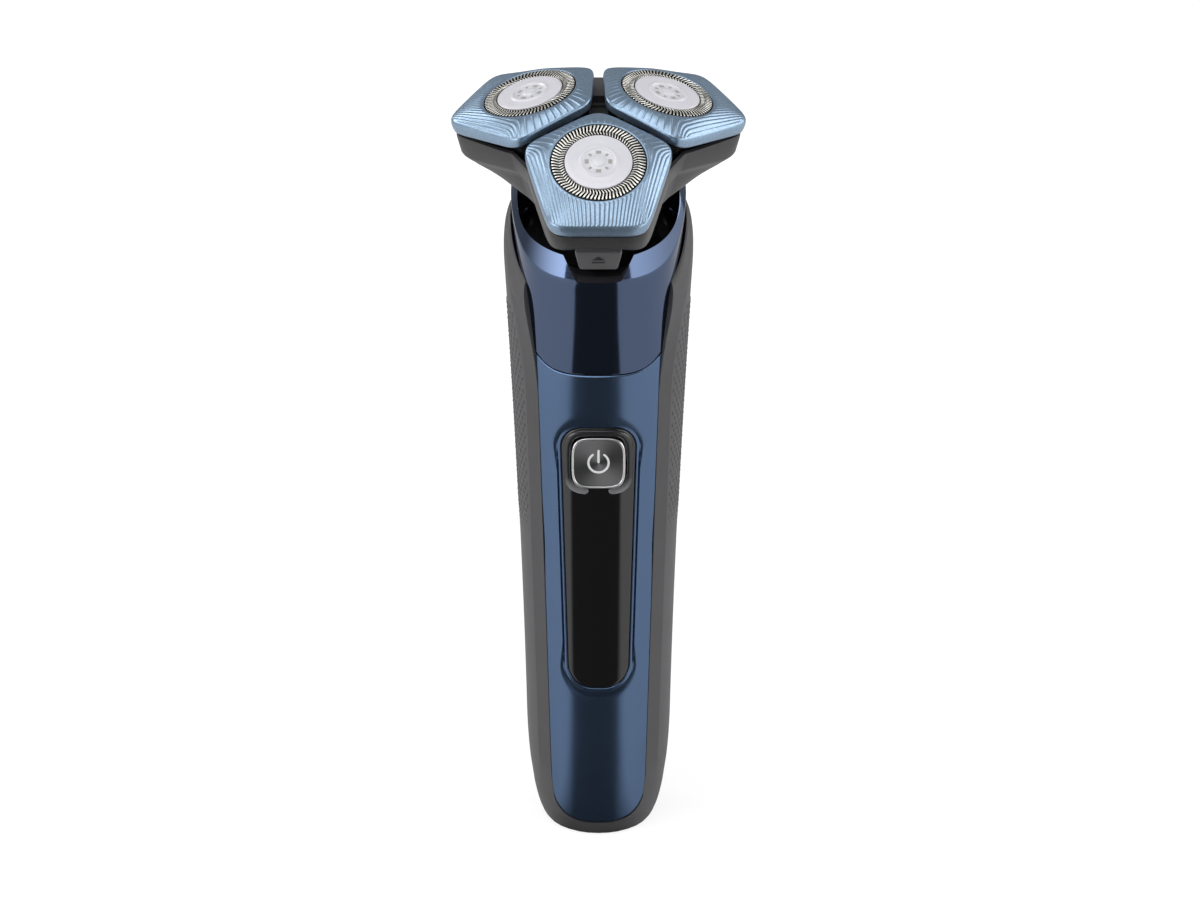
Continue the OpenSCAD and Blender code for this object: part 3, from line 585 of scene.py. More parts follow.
# %% [markdown]
# The rounder side of the grip has rows of tiny raised grains, which stop a wet hand from
# slipping. Thousands of them are a job for Geometry Nodes. A tree puts an instance of one
# grain on every point of a list, turned by the angles that the point carries, realizes
# them so that plain faces are left, and paints them. A rule that lays out the points is
# handed to the tree's maker, so that another layout can use the same tree later.

# %% A tree of copies


def copies_tree(name, inputs, lay_out):
    """A tree that puts a shape on points, turned by angles, and leaves plain painted faces."""
    tree = bpy.data.node_groups.new(name, "GeometryNodeTree")
    for title, kind in (("Geometry", "Geometry"), *inputs, ("Shape", "Object"), ("Finish", "Material")):
        tree.interface.new_socket(title, in_out="INPUT", socket_type="NodeSocket" + kind)
    tree.interface.new_socket("Geometry", in_out="OUTPUT", socket_type="NodeSocketGeometry")
    new, link = tree.nodes.new, tree.links.new
    given, result = new("NodeGroupInput"), new("NodeGroupOutput")
    shape, place = new("GeometryNodeObjectInfo"), new("GeometryNodeInstanceOnPoints")
    real, paint = new("GeometryNodeRealizeInstances"), new("GeometryNodeSetMaterial")
    points, angles = lay_out(new, link, given)
    link(points, place.inputs["Points"])
    link(angles, place.inputs["Rotation"])
    link(given.outputs["Shape"], shape.inputs[0])
    link(shape.outputs["Geometry"], place.inputs["Instance"])
    link(place.outputs[0], real.inputs[0])
    link(real.outputs[0], paint.inputs[0])
    link(given.outputs["Finish"], paint.inputs["Material"])
    link(paint.outputs[0], result.inputs[0])
    return tree


def copied(made, tree, **values):
    """The object after the tree has worked on it, with the tree's inputs set by name."""
    work = made.modifiers.new("copies", "NODES")
    work.node_group = tree
    for socket in tree.interface.items_tree:
        if socket.in_out == "INPUT" and socket.name in values:
            work[socket.identifier] = values[socket.name]
    baked(made)
    bpy.data.objects.remove(values["Shape"])
    return made


print("node trees so far:", len(bpy.data.node_groups))

# %% [markdown]
# The first layout takes a list of points as it is. Each point carries its own angles in a
# named attribute, which the tree reads.

# %% Copies on a list of points


def on_list(new, link, given):
    """The given points, each with the angles that it carries."""
    angles = new("GeometryNodeInputNamedAttribute")
    angles.data_type = "FLOAT_VECTOR"
    angles.inputs[0].default_value = "angles"
    return given.outputs["Geometry"], angles.outputs[0]


spread = copies_tree("spread", (), on_list)


def spread_on(name, spots, angles, shape, finish_name):
    """One object with the shape on every spot, turned by its angles."""
    one = make(name + "_one", shape, finish_name)
    mesh = bpy.data.meshes.new(name)
    mesh.from_pydata((np.asarray(spots) * MM).tolist(), [], [])
    turns = mesh.attributes.new("angles", "FLOAT_VECTOR", "POINT")
    turns.data.foreach_set("vector", np.asarray(angles).ravel())
    many = bpy.data.objects.new(name, mesh)
    scene.collection.objects.link(many)
    copied(many, spread, Shape=one, Finish=finishes[finish_name].material)
    many.data.shade_smooth()
    return many


print("tree:", spread.name, "with", len(spread.nodes), "nodes")

# %% [markdown]
# A grain is a low oval dome. The rows stand half a step apart from each other, and the
# lowest rows sink into the grip little by little, so that the field fades out there.

# %% Grains of the grip
GRAIN_ROWS = np.arange(65.2, 117.0, 1.3)
GRAIN_STEP = 1.7 * 57.3 / 17  # 1.7 mm on a radius of 17 mm, in degrees
GRAIN_END = 118


def ringed(rings, closed):
    """Points and faces of a skin over closed rings, ends filled unless the skin is closed."""
    rings = np.asarray(rings, float)
    m, n = rings.shape[:2]
    points = rings.reshape(-1, 3)
    grid = np.arange(m * n).reshape(m, n)
    grid = np.concatenate([grid, grid[:, :1]], 1)
    if closed:
        return points, quads(np.concatenate([grid, grid[:1]]))
    points = np.concatenate([points, [rings[0].mean(0), rings[-1].mean(0)]])
    return points, quads(grid) + fan(m * n, grid[0][::-1]) + fan(m * n + 1, grid[-1])


def dome(wide, tall, high, steps=12):
    """Points and faces of a low oval dome that reaches a little below its foot."""
    a = np.linspace(0, 2 * math.pi, steps, endpoint=False)
    rows = []
    for k, h in ((1.0, -0.12), (1.0, 0.0), (0.82, 0.5 * high), (0.5, 0.85 * high), (0.15, high)):
        rows.append(np.stack([wide * k * np.cos(a), tall * k * np.sin(a), 0 * a + h], -1))
    return ringed(rows, False)


spots, angles = [], []
for row, z in enumerate(GRAIN_ROWS):
    sunk = 0.16 * (1 - float(smooth(64, 74, z)))
    start = float(angle_of(min(edge_full(z) + 3.1, half_w(z) - 0.5), z))
    t = start + 0.5 * GRAIN_STEP * (row % 2)
    while t < GRAIN_END:
        at = grip_skin(np.array([t, t + 0.5, t]), np.array([z, z, z + 0.5]))
        out = np.cross(at[1] - at[0], at[2] - at[0])
        for side in (1, -1):
            normal = Vector((out * [side, 1, 1]).tolist()).normalized()
            spots.append(at[0] * [side, 1, 1] - sunk * np.array(normal))
            angles.append(normal.to_track_quat("Z", "Y").to_euler())
        t += GRAIN_STEP
grains = spread_on("grip_grains", spots, angles, dome(0.36, 0.58, 0.17), "soft_dark")
settle(grains, "handle", "soft_dark")
print("grains:", len(spots))

# %% [markdown]
# The panel is a shallow lacquered shell with the display window in it. Its lines are
# drawn in the front view, as x and height, and then laid on the front's curve. At its top
# a seam divides it from the collar.

# %% Lines of the front
SEAM_Z, SEAM_RISE, SEAM_W = 104.6, 4.4, 13.4


def core_in(z):
    return 0.15 + 2.2 * smooth(SHOULDER - 35, SHOULDER - 6, z)


def front_at(x, z):
    w = half_w(z) - core_in(z)
    return -front_d(z) * np.clip(1 - (np.abs(x) / w) ** FLAT, 0, 1) ** (1 / FLAT)


def seam_at(x):
    return SEAM_Z + SEAM_RISE * (np.abs(x) / SEAM_W) ** 5


def at_depth(line, y):
    """A line of the front view (x and height), set at a depth."""
    return np.stack([line[:, 0], y + 0 * line[:, 0], line[:, 1]], -1)


def on_front(line, sink=0.0):
    """A line of the front view, laid on the front's curve or sunk below it."""
    return at_depth(line, front_at(line[:, 0], line[:, 1]) + sink)


def mirrored(half):
    """A closed outline from its right half, which starts and ends on the middle line."""
    return np.concatenate([half, half[-2:0:-1] * [-1, 1]])


print("the seam's height at the middle and beside:", float(seam_at(0)), round(float(seam_at(12)), 1))

# %% [markdown]
# The panel's own outline and the window's have the same number of points, so that rings
# can run from one to the other. A thin parting line is left between the pieces.

# %% Outlines of panel and window
PARTING = 0.12
WIN_LOW, WIN_HIGH = 34.0, 92.6
WIN_W_LOW, WIN_W_TOP = 6.4, 7.75
WIN_R_LOW, WIN_R_TOP = 5.2, 4.6
LOW_N, SIDE_N, TOP_N, FLAT_N = 26, 60, 27, 6  # points of half an outline: below, beside, above
SEAM_HALF = 13.3


def panel_outline():
    u = np.sin(np.linspace(0, math.pi / 2, LOW_N, endpoint=False))
    low_z = SIDE_LOW - (LOW_DROP - 0.15) * np.clip(1 - u ** LOW_POWER, 0, 1) ** (1 / LOW_POWER)
    side_z = np.linspace(SIDE_LOW, float(seam_at(SEAM_HALF)) - PARTING, SIDE_N, endpoint=False)
    v = np.cos(np.linspace(0, math.pi / 2, TOP_N))
    z = np.concatenate([low_z, side_z, seam_at(SEAM_HALF * v) - PARTING])
    share = np.concatenate([u, np.ones(SIDE_N), v])
    return mirrored(np.stack([share * (edge_full(z) - PARTING), z], -1))


def window_outline(grow):
    x_low, x_top = WIN_W_LOW - WIN_R_LOW, WIN_W_TOP - WIN_R_TOP
    z_low, z_top = WIN_LOW + WIN_R_LOW, WIN_HIGH - WIN_R_TOP

    def corner(x, z, r, a):
        return np.stack([x + (r + grow) * np.cos(np.radians(a)), z + (r + grow) * np.sin(np.radians(a))], -1)

    x = np.linspace(0, x_low, FLAT_N, endpoint=False)
    low = np.stack([x, 0 * x + WIN_LOW - grow], -1)
    low_arc = corner(x_low, z_low, WIN_R_LOW, np.linspace(-90, 0, LOW_N - FLAT_N, endpoint=False))
    z = np.linspace(z_low, z_top, SIDE_N, endpoint=False)
    side = np.stack([mix(WIN_W_LOW, WIN_W_TOP, (z - z_low) / (z_top - z_low)) + grow, z], -1)
    top_arc = corner(x_top, z_top, WIN_R_TOP, np.linspace(0, 90, TOP_N - FLAT_N, endpoint=False))
    x = np.linspace(x_top, 0, FLAT_N)
    top = np.stack([x, 0 * x + WIN_HIGH + grow], -1)
    return mirrored(np.concatenate([low, low_arc, side, top_arc, top]))


rim_line = window_outline(PARTING)
end_line = panel_outline()
print("points of an outline:", len(rim_line), len(end_line))

# %% [markdown]
# Near the window the panel's surface steps down to a thin rim, with a fine groove beside
# it along the sides. Above and below the window that step widens to a dish. The panel's
# own edge is chamfered, and the chamfer catches the light as a thin line all round.

# %% Front panel
ends = smooth(10, 0, rim_line[:, 1] - WIN_LOW) + smooth(10, 0, WIN_HIGH - rim_line[:, 1])
step_from = mix(0.56, 0.2, ends)
step_to = mix(0.95, 2.5, ends)
STEP_H, GROOVE_H, GROOVE_AT, CHAMFER = 0.42, 0.32, 0.72, 0.4
RIM_STOPS = (0, 0.05, 0.12, 0.25, 0.4, 0.52, 0.6, 0.68, 0.76, 0.84, 0.92, 1.0, 1.12, 1.4, 1.8, 2.2, 2.7)
rings = []
for d in RIM_STOPS:
    sink = STEP_H * (1 - smooth(step_from, step_to, d)) + 0.14 * max(0, 1 - d / 0.12) ** 2
    groove = GROOVE_H * (1 - ends) * max(0, 1 - abs(d - GROOVE_AT) / 0.2)
    rings.append(on_front(window_outline(PARTING + d), sink + groove))
last = window_outline(PARTING + RIM_STOPS[-1])
span = np.linalg.norm(end_line - last, axis=1)[:, None]
near = mix(end_line, last, CHAMFER / span)
for k in np.linspace(0, 1, 14)[1:]:
    rings.append(on_front(mix(last, near, k)))
for stop, fall in ((0.36, 0.0), (0.33, 0.01), (0.06, 0.25), (0.03, 0.29), (0.0, 0.4)):
    rings.append(on_front(mix(end_line, last, stop / span), fall))


def plate(rings, thick):
    """A plate with the given rings in front and a back that follows the front's curve."""
    back = [on_front(ring[:, ::2], thick) for ring in rings]
    return ringed([*rings, *back[::-1]], True)


panel = make("front_cover", plate(rings, 1.8), "satin_blue", 40)
settle(panel, "handle", "satin_blue", "front_panel")
print("panel faces:", len(panel.data.polygons))

# %% [markdown]
# The shaving unit leans forward and has axes of its own, in which its pieces are drawn.
# A turn is a matrix here, so that whole rows of points change axes at once.

# %% Axes of the shaving unit
TILT = math.radians(19)  # how far it leans
NECK = SHOULDER - 1.8  # height at which its axes start


def turn(axis, angle):
    """A turn about an axis (0 is x, 2 is z), as a matrix for rows of points."""
    a, b = (axis + 1) % 3, (axis + 2) % 3
    m = np.eye(3)
    m[a, a] = m[b, b] = math.cos(angle)
    m[a, b], m[b, a] = math.sin(angle), -math.sin(angle)
    return m


def in_unit(p):
    """From the shaving unit's own axes to the shaver's."""
    return np.asarray(p, float) @ turn(0, TILT) + [0, 0, NECK]


def from_unit(p):
    """From the shaver's axes back to the shaving unit's."""
    return (np.asarray(p, float) - [0, 0, NECK]) @ turn(0, -TILT)


print("30 mm up the unit's axis:", in_unit([0, 0, 30]).round(1))

# %% [markdown]
# The collar carries the unit. Its outside follows the handle's section and stands on the
# panel's seam, or on the grip's edge beside it. Its well is round in the unit's axes.

# %% Lines of the collar
WELL_R, WELL_Y = 16.7, 1.2
COLLAR_WALL = 1.7
SHOULDER_SOFT = 0.35
around = np.linspace(0, 360, 288, endpoint=False)


def polar(r, degrees, z):
    """Points at a radius and at angles from the front, at a height."""
    a = np.radians(degrees)
    return np.stack([r * np.sin(a), -r * np.cos(a), z + 0 * a], -1)


def collar_foot(t):
    """Where the collar's outside starts: at the seam, or at the grip's edge."""
    a = min(t, 360 - t)
    if a >= 88:
        return float(outer_z(t)) - 9
    z = 110.0
    for k in range(40):
        x = float(body_at(np.array([a]), np.array([z]), float(core_in(z)), 0.0)[0, 0])
        if x > float(edge(z)) - PARTING:
            z += 0.6
            continue
        seam = float(seam_at(min(x, 14.2))) + PARTING
        z = mix(z, seam, 0.5)
        if z <= seam + 0.02:
            break
    return min(z, float(outer_z(t)) - 1)


def collar_ring(z, inset=0.0):
    return body_at(around, z, core_in(z) + inset, inset)


def well_ring(h, grow=0.0):
    return in_unit(polar(WELL_R + grow, around, h) + [0, WELL_Y, 0])


feet = np.array([collar_foot(t) for t in around])
for k in range(2):
    feet = np.maximum(feet, 0.25 * (np.roll(feet, 1) + np.roll(feet, -1)) + 0.5 * feet)
print("collar's foot from", round(feet.min(), 1), "to", round(feet.max(), 1))

# %% [markdown]
# Rings run up the outside from the seam, turn over a wide bevel that is broad at the
# front, and drop into the well. They close on the inside, so the collar is one skin. The
# faces in the well are black, by a second finish on the same piece.

# %% Collar
tops = outer_z(around)
well_y = WELL_Y - WELL_R * np.cos(np.radians(around))
brim = 10.4 + 3.3 * np.tanh((well_y - 0.5) / 6)
lip, shoulder = well_ring(brim), collar_ring(tops)
rings = [collar_ring(feet, 0.3), collar_ring(feet, 0.06), collar_ring(feet + 0.1, 0.0)]
for k in np.linspace(0, 1, 16)[1:]:
    rings.append(collar_ring(mix(feet + 0.1, tops - SHOULDER_SOFT, k)))
rings.append(collar_ring(tops - 0.12, 0.03))
for k in (0.04, 0.1, 0.25, 0.5, 0.75, 0.92):
    rings.append(mix(shoulder, lip, k) + [0, 0, 0.1 * math.sin(math.pi * k)])
rings.append(mix(shoulder, lip, 0.985) + [0, 0, -0.02])
for k in (0, 0.33, 0.66, 1.0):
    rings.append(well_ring(mix(brim - 0.2, -2.0, k)))
rings.append(well_ring(-2.2, 0.1))
rings.append(collar_ring(np.minimum(feet + 2.5, tops - 9), COLLAR_WALL))
rings.append(collar_ring(feet, COLLAR_WALL))
collar = make("gloss_collar", ringed(rings, True), "gloss_blue", 34)


def refinish(made, chosen, finish_name):
    """Gives the faces whose middles are chosen a second finish."""
    made.data.materials.append(finishes[finish_name].material)
    for face in made.data.polygons:
        if chosen(np.array(face.center) / MM):
            face.material_index = 1


def in_well(here):
    x, y, z = from_unit(here)
    return math.hypot(x, y - WELL_Y) < WELL_R + 0.02


refinish(collar, in_well, "gloss_black")
print("collar rings:", len(rings))

# %% [markdown]
# At the front a notch is cut for the release button. The cutter is a rounded outline run
# back through the wall, and the cut takes on the cutter's black.

# %% Notch of the collar


def prism(outline, y0, y1, place):
    """A front-view outline run from depth y0 to depth y1, then placed."""
    outline = np.asarray(outline, float)
    return ringed([place(at_depth(outline, y)) for y in (y0, y1)], False)


def soft_corners(outline, radius, steps=5):
    """Rounds the corners of an outline."""
    outline = np.asarray(outline, float)
    out = []
    for k in range(len(outline)):
        p, q, r = outline[k - 1], outline[k], outline[(k + 1) % len(outline)]
        a, b = (p - q) / np.linalg.norm(p - q), (r - q) / np.linalg.norm(r - q)
        reach = min(radius, 0.45 * np.linalg.norm(p - q), 0.45 * np.linalg.norm(r - q))
        for s in np.linspace(0, 1, steps):
            out.append((1 - s) ** 2 * (q + a * reach) + 2 * s * (1 - s) * q + s ** 2 * (q + b * reach))
    return np.array(out)


notch = soft_corners([[-4.6, 2.7], [4.6, 2.7], [7.3, 7.2], [8.2, 30], [-8.2, 30], [-7.3, 7.2]], 0.3)
cut_by(collar, make("notch_cutter", prism(notch, -8, -38, in_unit), "gloss_black"))
shaded(collar, 30)
settle(collar, "handle", "gloss_blue", "collar")
print("collar faces:", len(collar.data.polygons))

# %% [markdown]
# The display lens is one dark glossy plate that fills the window. It follows the
# panel's curve a little below it, so its sides mirror the studio as two upright strips.
# A rounded square is left out for the power button.

# %% Display lens
BUTTON_W = 11.1


def soft_square(width, count, power=4.0):
    """A rounded square round the power button, as a line of the front view."""
    a = np.linspace(0, 2 * math.pi, count, endpoint=False) - math.pi / 2
    c, s = np.cos(a), np.sin(a)
    x = width / 2 * np.sign(c) * np.abs(c) ** (2 / power)
    z = BUTTON_Z + width / 2 * np.sign(s) * np.abs(s) ** (2 / power)
    return np.stack([x, z], -1)


LENS_SINK = 0.5
hole_line = soft_square(BUTTON_W + 0.6, len(rim_line))
rings = []
for k in np.linspace(0, 1, 16):
    rings.append(on_front(mix(hole_line, window_outline(-1.0), k), LENS_SINK))
for inset, sink in ((0.5, 0.5), (0.2, 0.51), (0.1, 0.55), (0.03, 0.65)):
    rings.append(on_front(window_outline(-inset), sink))
lens = make("window_lens", plate(rings, 2.0), "lens_black", 40)
settle(lens, "handle", "lens_black", "display_lens")
print("lens faces:", len(lens.data.polygons))

# %% [markdown]
# Round the power button lies a raised band, open below. It runs between two rounded
# squares and has a low round section, which narrows to nothing at its two ends.

# %% Band round the button


def band(width_in, width_out, gap, foot):
    """A raised band between two rounded squares, with round ends, left open below."""
    n = 240
    a, b = soft_square(width_in, n), soft_square(width_out, n)
    order = [k for k in range(n) if abs(b[k, 0]) > gap or b[k, 1] > BUTTON_Z]
    a, b = a[order], b[order]
    middle = mix(a, b, 0.5)
    run = np.concatenate([[0], np.cumsum(np.linalg.norm(np.diff(middle, axis=0), axis=1))])
    half = (width_out - width_in) / 4
    near_end = np.clip(np.minimum(run, run[-1] - run) / half, 0.02, 1)
    full = np.sqrt(1 - (1 - near_end) ** 2)[:, None]
    rise = ((0, foot), (0, 0.36), (0.08, 0.22), (0.28, 0.13), (0.5, 0.1))
    rise += tuple((1 - t, y) for t, y in rise[-2::-1])
    rows = [on_front(mix(middle, mix(a, b, t), full), y) for t, y in rise]
    return ringed(np.array(rows).transpose(1, 0, 2), False)


surround = make("button_band", band(BUTTON_W + 0.7, BUTTON_W + 3.3, 2.3, 0.56), "satin_black_painted_highlight", 50)
settle(surround, "handle", "matt_dark", "button_surround")
print("band faces:", len(surround.data.polygons))

# %% [markdown]
# The button itself is a slightly hollow brushed face in a bright half-round ring. Both
# are rings of points again. A stem behind the face reaches the switch on the board, and
# it is joined to the face, because the two are one moulding.

# %% Power button
FACE_Y = float(front_at(0.0, BUTTON_Z))
KEY_Y = FACE_Y - 0.1
KEY_DISH = 0.16
RING_WIDE = 0.9
KEY_N = 160


def joined(*parts):
    """Points and faces of several shapes as one."""
    points, faces, n = [], [], 0
    for p, f in parts:
        p = np.asarray(p, float).reshape(-1, 3)
        points.append(p)
        faces += [[n + k for k in q] for q in f]
        n += len(p)
    return np.concatenate(points), faces


rows = []
for share, y in ((0.0, 0.0), (0.3, 0.0), (0.6, 0.0), (0.85, 0.0), (0.96, -0.03), (1.0, 0.05), (1.0, 1.6)):
    line = soft_square((BUTTON_W - 0.94) * max(share, 0.001), KEY_N, mix(2.4, 4.0, share))
    dish = KEY_DISH * (1 - share ** 2) if y < 1 else 0
    rows.append(at_depth(line, KEY_Y + y + dish))
a = np.linspace(0, 2 * math.pi, 32, endpoint=False)
stem_line = np.stack([1.6 * np.cos(a), BUTTON_Z + 1.6 * np.sin(a)], -1)
stem = prism(stem_line, FACE_Y + 1.4, -10.72, lambda p: p)
key = make("power_key_face", joined(ringed(rows, False), stem), "button_face", 40)
settle(key, "power_key", "button_face", "power_button")

rows = []
for a in np.radians(np.linspace(0, 180, 9)):
    line = soft_square(BUTTON_W - RING_WIDE / 2 * (1 + math.cos(a)), KEY_N)
    rows.append(at_depth(line, KEY_Y - 0.18 * math.sin(a)))
for width in (BUTTON_W - RING_WIDE, BUTTON_W):
    rows.append(at_depth(soft_square(width, KEY_N), FACE_Y + 1.6))
ring = make("power_key_ring", ringed(rows, True), "chrome_trim", 60)
settle(ring, "power_key", "chrome_trim", "button_ring")
print("button face at", round(FACE_Y, 2), "with", len(key.data.polygons), "faces")

# %% [markdown]
# On the face is the usual power sign, a broken circle and a stroke. It is printed, so
# here it is a thin raised ribbon with round ends that follows the hollow of the face.

# %% Power sign
END_N = 6  # points of a round end


def stroke(line, width, y_at, height=0.05):
    """A thin raised stroke along a front-view line, with round ends."""
    line = np.asarray(line, float)
    step = np.gradient(line, axis=0)
    step /= np.linalg.norm(step, axis=1)[:, None]
    side = np.stack([-step[:, 1], step[:, 0]], -1) * width / 2
    turns = np.linspace(0.4, 2.7, END_N)
    end = [line[-1] + side[-1] * math.cos(a) + step[-1] * width / 2 * math.sin(a) for a in turns]
    start = [line[0] - side[0] * math.cos(a) - step[0] * width / 2 * math.sin(a) for a in turns]
    outline = np.concatenate([line + side, end, (line - side)[::-1], start])
    y = y_at(outline)
    points = np.concatenate([at_depth(outline, y - height), at_depth(outline, y + 0.1)])
    m, k = len(outline), len(line)
    left, right = np.arange(k), np.arange(k + END_N, 2 * k + END_N)[::-1]
    faces = quads(np.stack([left, right]))
    faces.append([k - 1, *range(k, k + END_N), k + END_N])
    faces.append([2 * k + END_N - 1, *range(2 * k + END_N, m), 0])
    faces += [[m + v for v in f[::-1]] for f in faces]
    loop = np.append(np.arange(m), 0)
    return points, faces + quads(np.stack([loop, loop + m]))


def on_key(outline):
    share = np.clip(np.max(np.abs(outline - [0, BUTTON_Z]), axis=1) / (BUTTON_W / 2 - 0.75), 0, 1)
    return KEY_Y + KEY_DISH * (1 - share ** 2)


SIGN_R = 2.1
a = np.radians(np.linspace(34, 326, 60))
circle = np.stack([SIGN_R * np.sin(a), BUTTON_Z + 0.1 + SIGN_R * np.cos(a)], -1)
bar = np.stack([np.zeros(6), np.linspace(BUTTON_Z + 0.25, BUTTON_Z + 2.75, 6)], -1)
sign = make("power_sign", joined(stroke(circle, 0.46, on_key), stroke(bar, 0.48, on_key)), "symbol_white", 40)
settle(sign, "power_key", "chrome_trim")
print("sign faces:", len(sign.data.polygons))

# %% [markdown]
# The release button sits in the notch. It is a flat trapezoid with soft edges, a little
# lighter along the top where its edge catches the light, and it carries the common
# release sign, a triangle over a bar, as a darker mark. Its stem ends short of the neck,
# so that the button can be pressed in.

# %% Release button
KEY_FRONT = -16.7
SIGN_HALF = 1.35


def rounded(made, width, segments=2):
    """Softens the sharp edges of a piece by a small bevel."""
    bevel = made.modifiers.new("edges", "BEVEL")
    bevel.width = width * MM
    bevel.segments = segments
    bevel.limit_method = "ANGLE"
    bevel.angle_limit = math.radians(40)
    return shaded(baked(made), 50)


def upright(half, low, high):
    return [[-half, low], [half, low], [half, high], [-half, high]]


outline = soft_corners([[-3.9, 5.4], [3.9, 5.4], [4.85, 9.7], [-4.85, 9.7]], 0.55)
release = make("release_key", prism(outline, KEY_FRONT, -15.0, in_unit), "release_grey", 40)
rounded(release, 0.28, 3)
stem = make("release_stem", prism(upright(1.9, 6.5, 8.7), -15.2, -11.25, in_unit), "matt_dark", 40)
settle(release, "release_key", "matt_dark", "release_button")
settle(stem, "release_key", "matt_dark")
arrow = [[-SIGN_HALF, 7.75], [SIGN_HALF, 7.75], [0, 8.75]]
dash = upright(SIGN_HALF, 7.05, 7.4)
mark = joined(*(prism(line, KEY_FRONT - 0.02, KEY_FRONT + 0.2, in_unit) for line in (arrow, dash)))
mark = make("release_sign", mark, "symbol_dark", 40)
settle(mark, "release_key", "matt_dark")
print("release button faces:", len(release.data.polygons))

# %% [markdown]
# The three heads stand in a ring on the shaving unit, a third of a turn apart, and each
# leans outward. All that belongs to a head is made once, in axes whose origin is the
# middle of the guard's face, and is then set into head 1, 2 and 3.

# %% Axes of the heads
SPLAY = math.radians(16.5)  # each head leans outward
RING_H = 32.0  # height of the guards' faces in the unit
PIVOT = 6.5  # depth of the pivot below the guard's face
ORBIT = 14.4 + PIVOT * math.sin(SPLAY)


def in_bowl(i, p):
    """From the axes of head i to the shaving unit's."""
    leant = np.asarray(p, float) @ turn(0, SPLAY) + [0, -ORBIT, RING_H]
    return leant @ turn(2, math.radians(120 * (i - 1)))


def in_head(i, p):
    return in_unit(in_bowl(i, p))


def on_head(i, shape):
    points, faces = shape
    return in_head(i, points), faces


for i in (1, 2, 3):
    print("head", i, "at", in_head(i, np.zeros(3)).round(1))

# %% [markdown]
# Each cap is a five-sided dome round its guard. Fine ribs run over it: straight ones
# fan out to the outer edge, and round the inner edges they spread like rays from the
# guard. The ribs are a height added to the dome, with their count as one smooth
# field over the cap, so they never break. They fade out near the guard and the rim.

# %% Caps
GUARD_R = 9.55
CAP_SIDES = ((0, 15.6), (75, 13.5), (-75, 13.5), (150, 13.0), (-150, 13.0))
CAP_SOFT = 11  # power that rounds the corners
CAP_TOP = -0.12


def cap_r(a, grow):
    """Radius of the five-sided outline at angles a, grown by a distance."""
    total = 0
    for normal, reach in CAP_SIDES:
        total = total + np.clip(np.cos(np.radians(a - normal)) / (reach + grow), 0, None) ** CAP_SOFT
    return total ** (-1 / CAP_SOFT)


def cap_shape():
    """Rings from the lower rim up the side, over the ribbed top, down the hole and back below."""
    a = np.linspace(0, 360, 720, endpoint=False)
    drop = 0.75 + 0.65 * np.sin(np.radians(a)) ** 2
    facing = smooth(95, 135, 180 - np.abs(a - 180))

    def out(grow, z, k, inset=0, lift=0):
        return polar(cap_r(a, grow - inset * facing), a, z + lift * facing - k * drop)

    def hole(grow, z):
        return polar(GUARD_R + grow, a, z)

    start, stop = out(-0.6, -0.7, 1), hole(0.35, CAP_TOP)
    top = []
    for s in np.linspace(0, 1, 48):
        p = mix(start, stop, s)
        p[:, 2] = CAP_TOP + (start[:, 2] - CAP_TOP) * (1 - s) ** 1.6
        top.append(p)
    top = np.array(top)
    x, y = top[..., 0], top[..., 1]
    lean = np.degrees(np.arctan2(x, y + 52))
    rays = lean / 1.46 * (1 + 0.03 * np.abs(lean))
    round_guard = np.degrees(np.arctan2(x, y))
    inner = smooth(98, 118, 180 - np.abs(round_guard))
    wave = 0.5 + 0.5 * np.cos(2 * np.pi * mix(rays, round_guard / 7, inner))
    ridge = mix(0.13 * wave ** 0.6 - 0.08, 0.12 * wave ** 5 - 0.02, inner)
    r = np.hypot(x, y)
    rim = cap_r(180 - round_guard, 0) - r
    top[..., 2] += smooth(GUARD_R + 0.6, GUARD_R + 1.0, r) * smooth(0.58, 0.75, rim) * ridge
    side = [out(-0.35, -4.7, 0, 0.55, 1), out(-0.2, -4.45, 0.1, 0.53, 0.9), out(-0.08, -3.4, 0.6, 0.5, 0.6),
            out(0, -2.2, 1, 0.45, 0.3), out(-0.05, -1.7, 1, 0.27, 0.15), out(-0.15, -1.25, 1, 0.1),
            out(-0.25, -1.0, 1, 0.05), out(-0.4, -0.82, 1)]
    below = [hole(0.24, -0.16), hole(0.17, -0.26), hole(0.15, -0.42), hole(0.15, -1.7), hole(1.15, -1.7),
             out(-2.2, -1.9, 0.6), out(-1.5, -2.9, 0.4), out(-1.5, -4.7, 0, 0, 1)]
    return ringed([*side, *top, *below], True)


cap_form = cap_shape()
for i in (1, 2, 3):
    cap = make(f"ribbed_cap_{i}", on_head(i, cap_form), "pale_blue", 60)
    settle(cap, f"head_{i}", "pale_blue", f"cap_{i}")
print("cap faces:", len(cap.data.polygons))

# %% [markdown]
# A guard has two rings of slots, which zigzag across it. It is quicker to think of the
# steel between the slots: one bent bar, repeated round the ring. The tree of copies does
# the repeating, with a second layout: as many points as its Count says, all in the
# middle, each turned on by an even share of the circle.

# %% A ring of copies


def round_ring(new, link, given):
    points, index = new("GeometryNodePoints"), new("GeometryNodeInputIndex")
    share, full, spin = new("ShaderNodeMath"), new("ShaderNodeMath"), new("ShaderNodeCombineXYZ")
    share.operation = "DIVIDE"
    full.operation = "MULTIPLY"
    full.inputs[1].default_value = 2 * math.pi
    link(given.outputs["Count"], points.inputs["Count"])
    link(index.outputs[0], share.inputs[0])
    link(given.outputs["Count"], share.inputs[1])
    link(share.outputs[0], full.inputs[0])
    link(full.outputs[0], spin.inputs[2])
    return points.outputs[0], spin.outputs[0]


ring_of = copies_tree("ring_of", (("Count", "Int"),), round_ring)


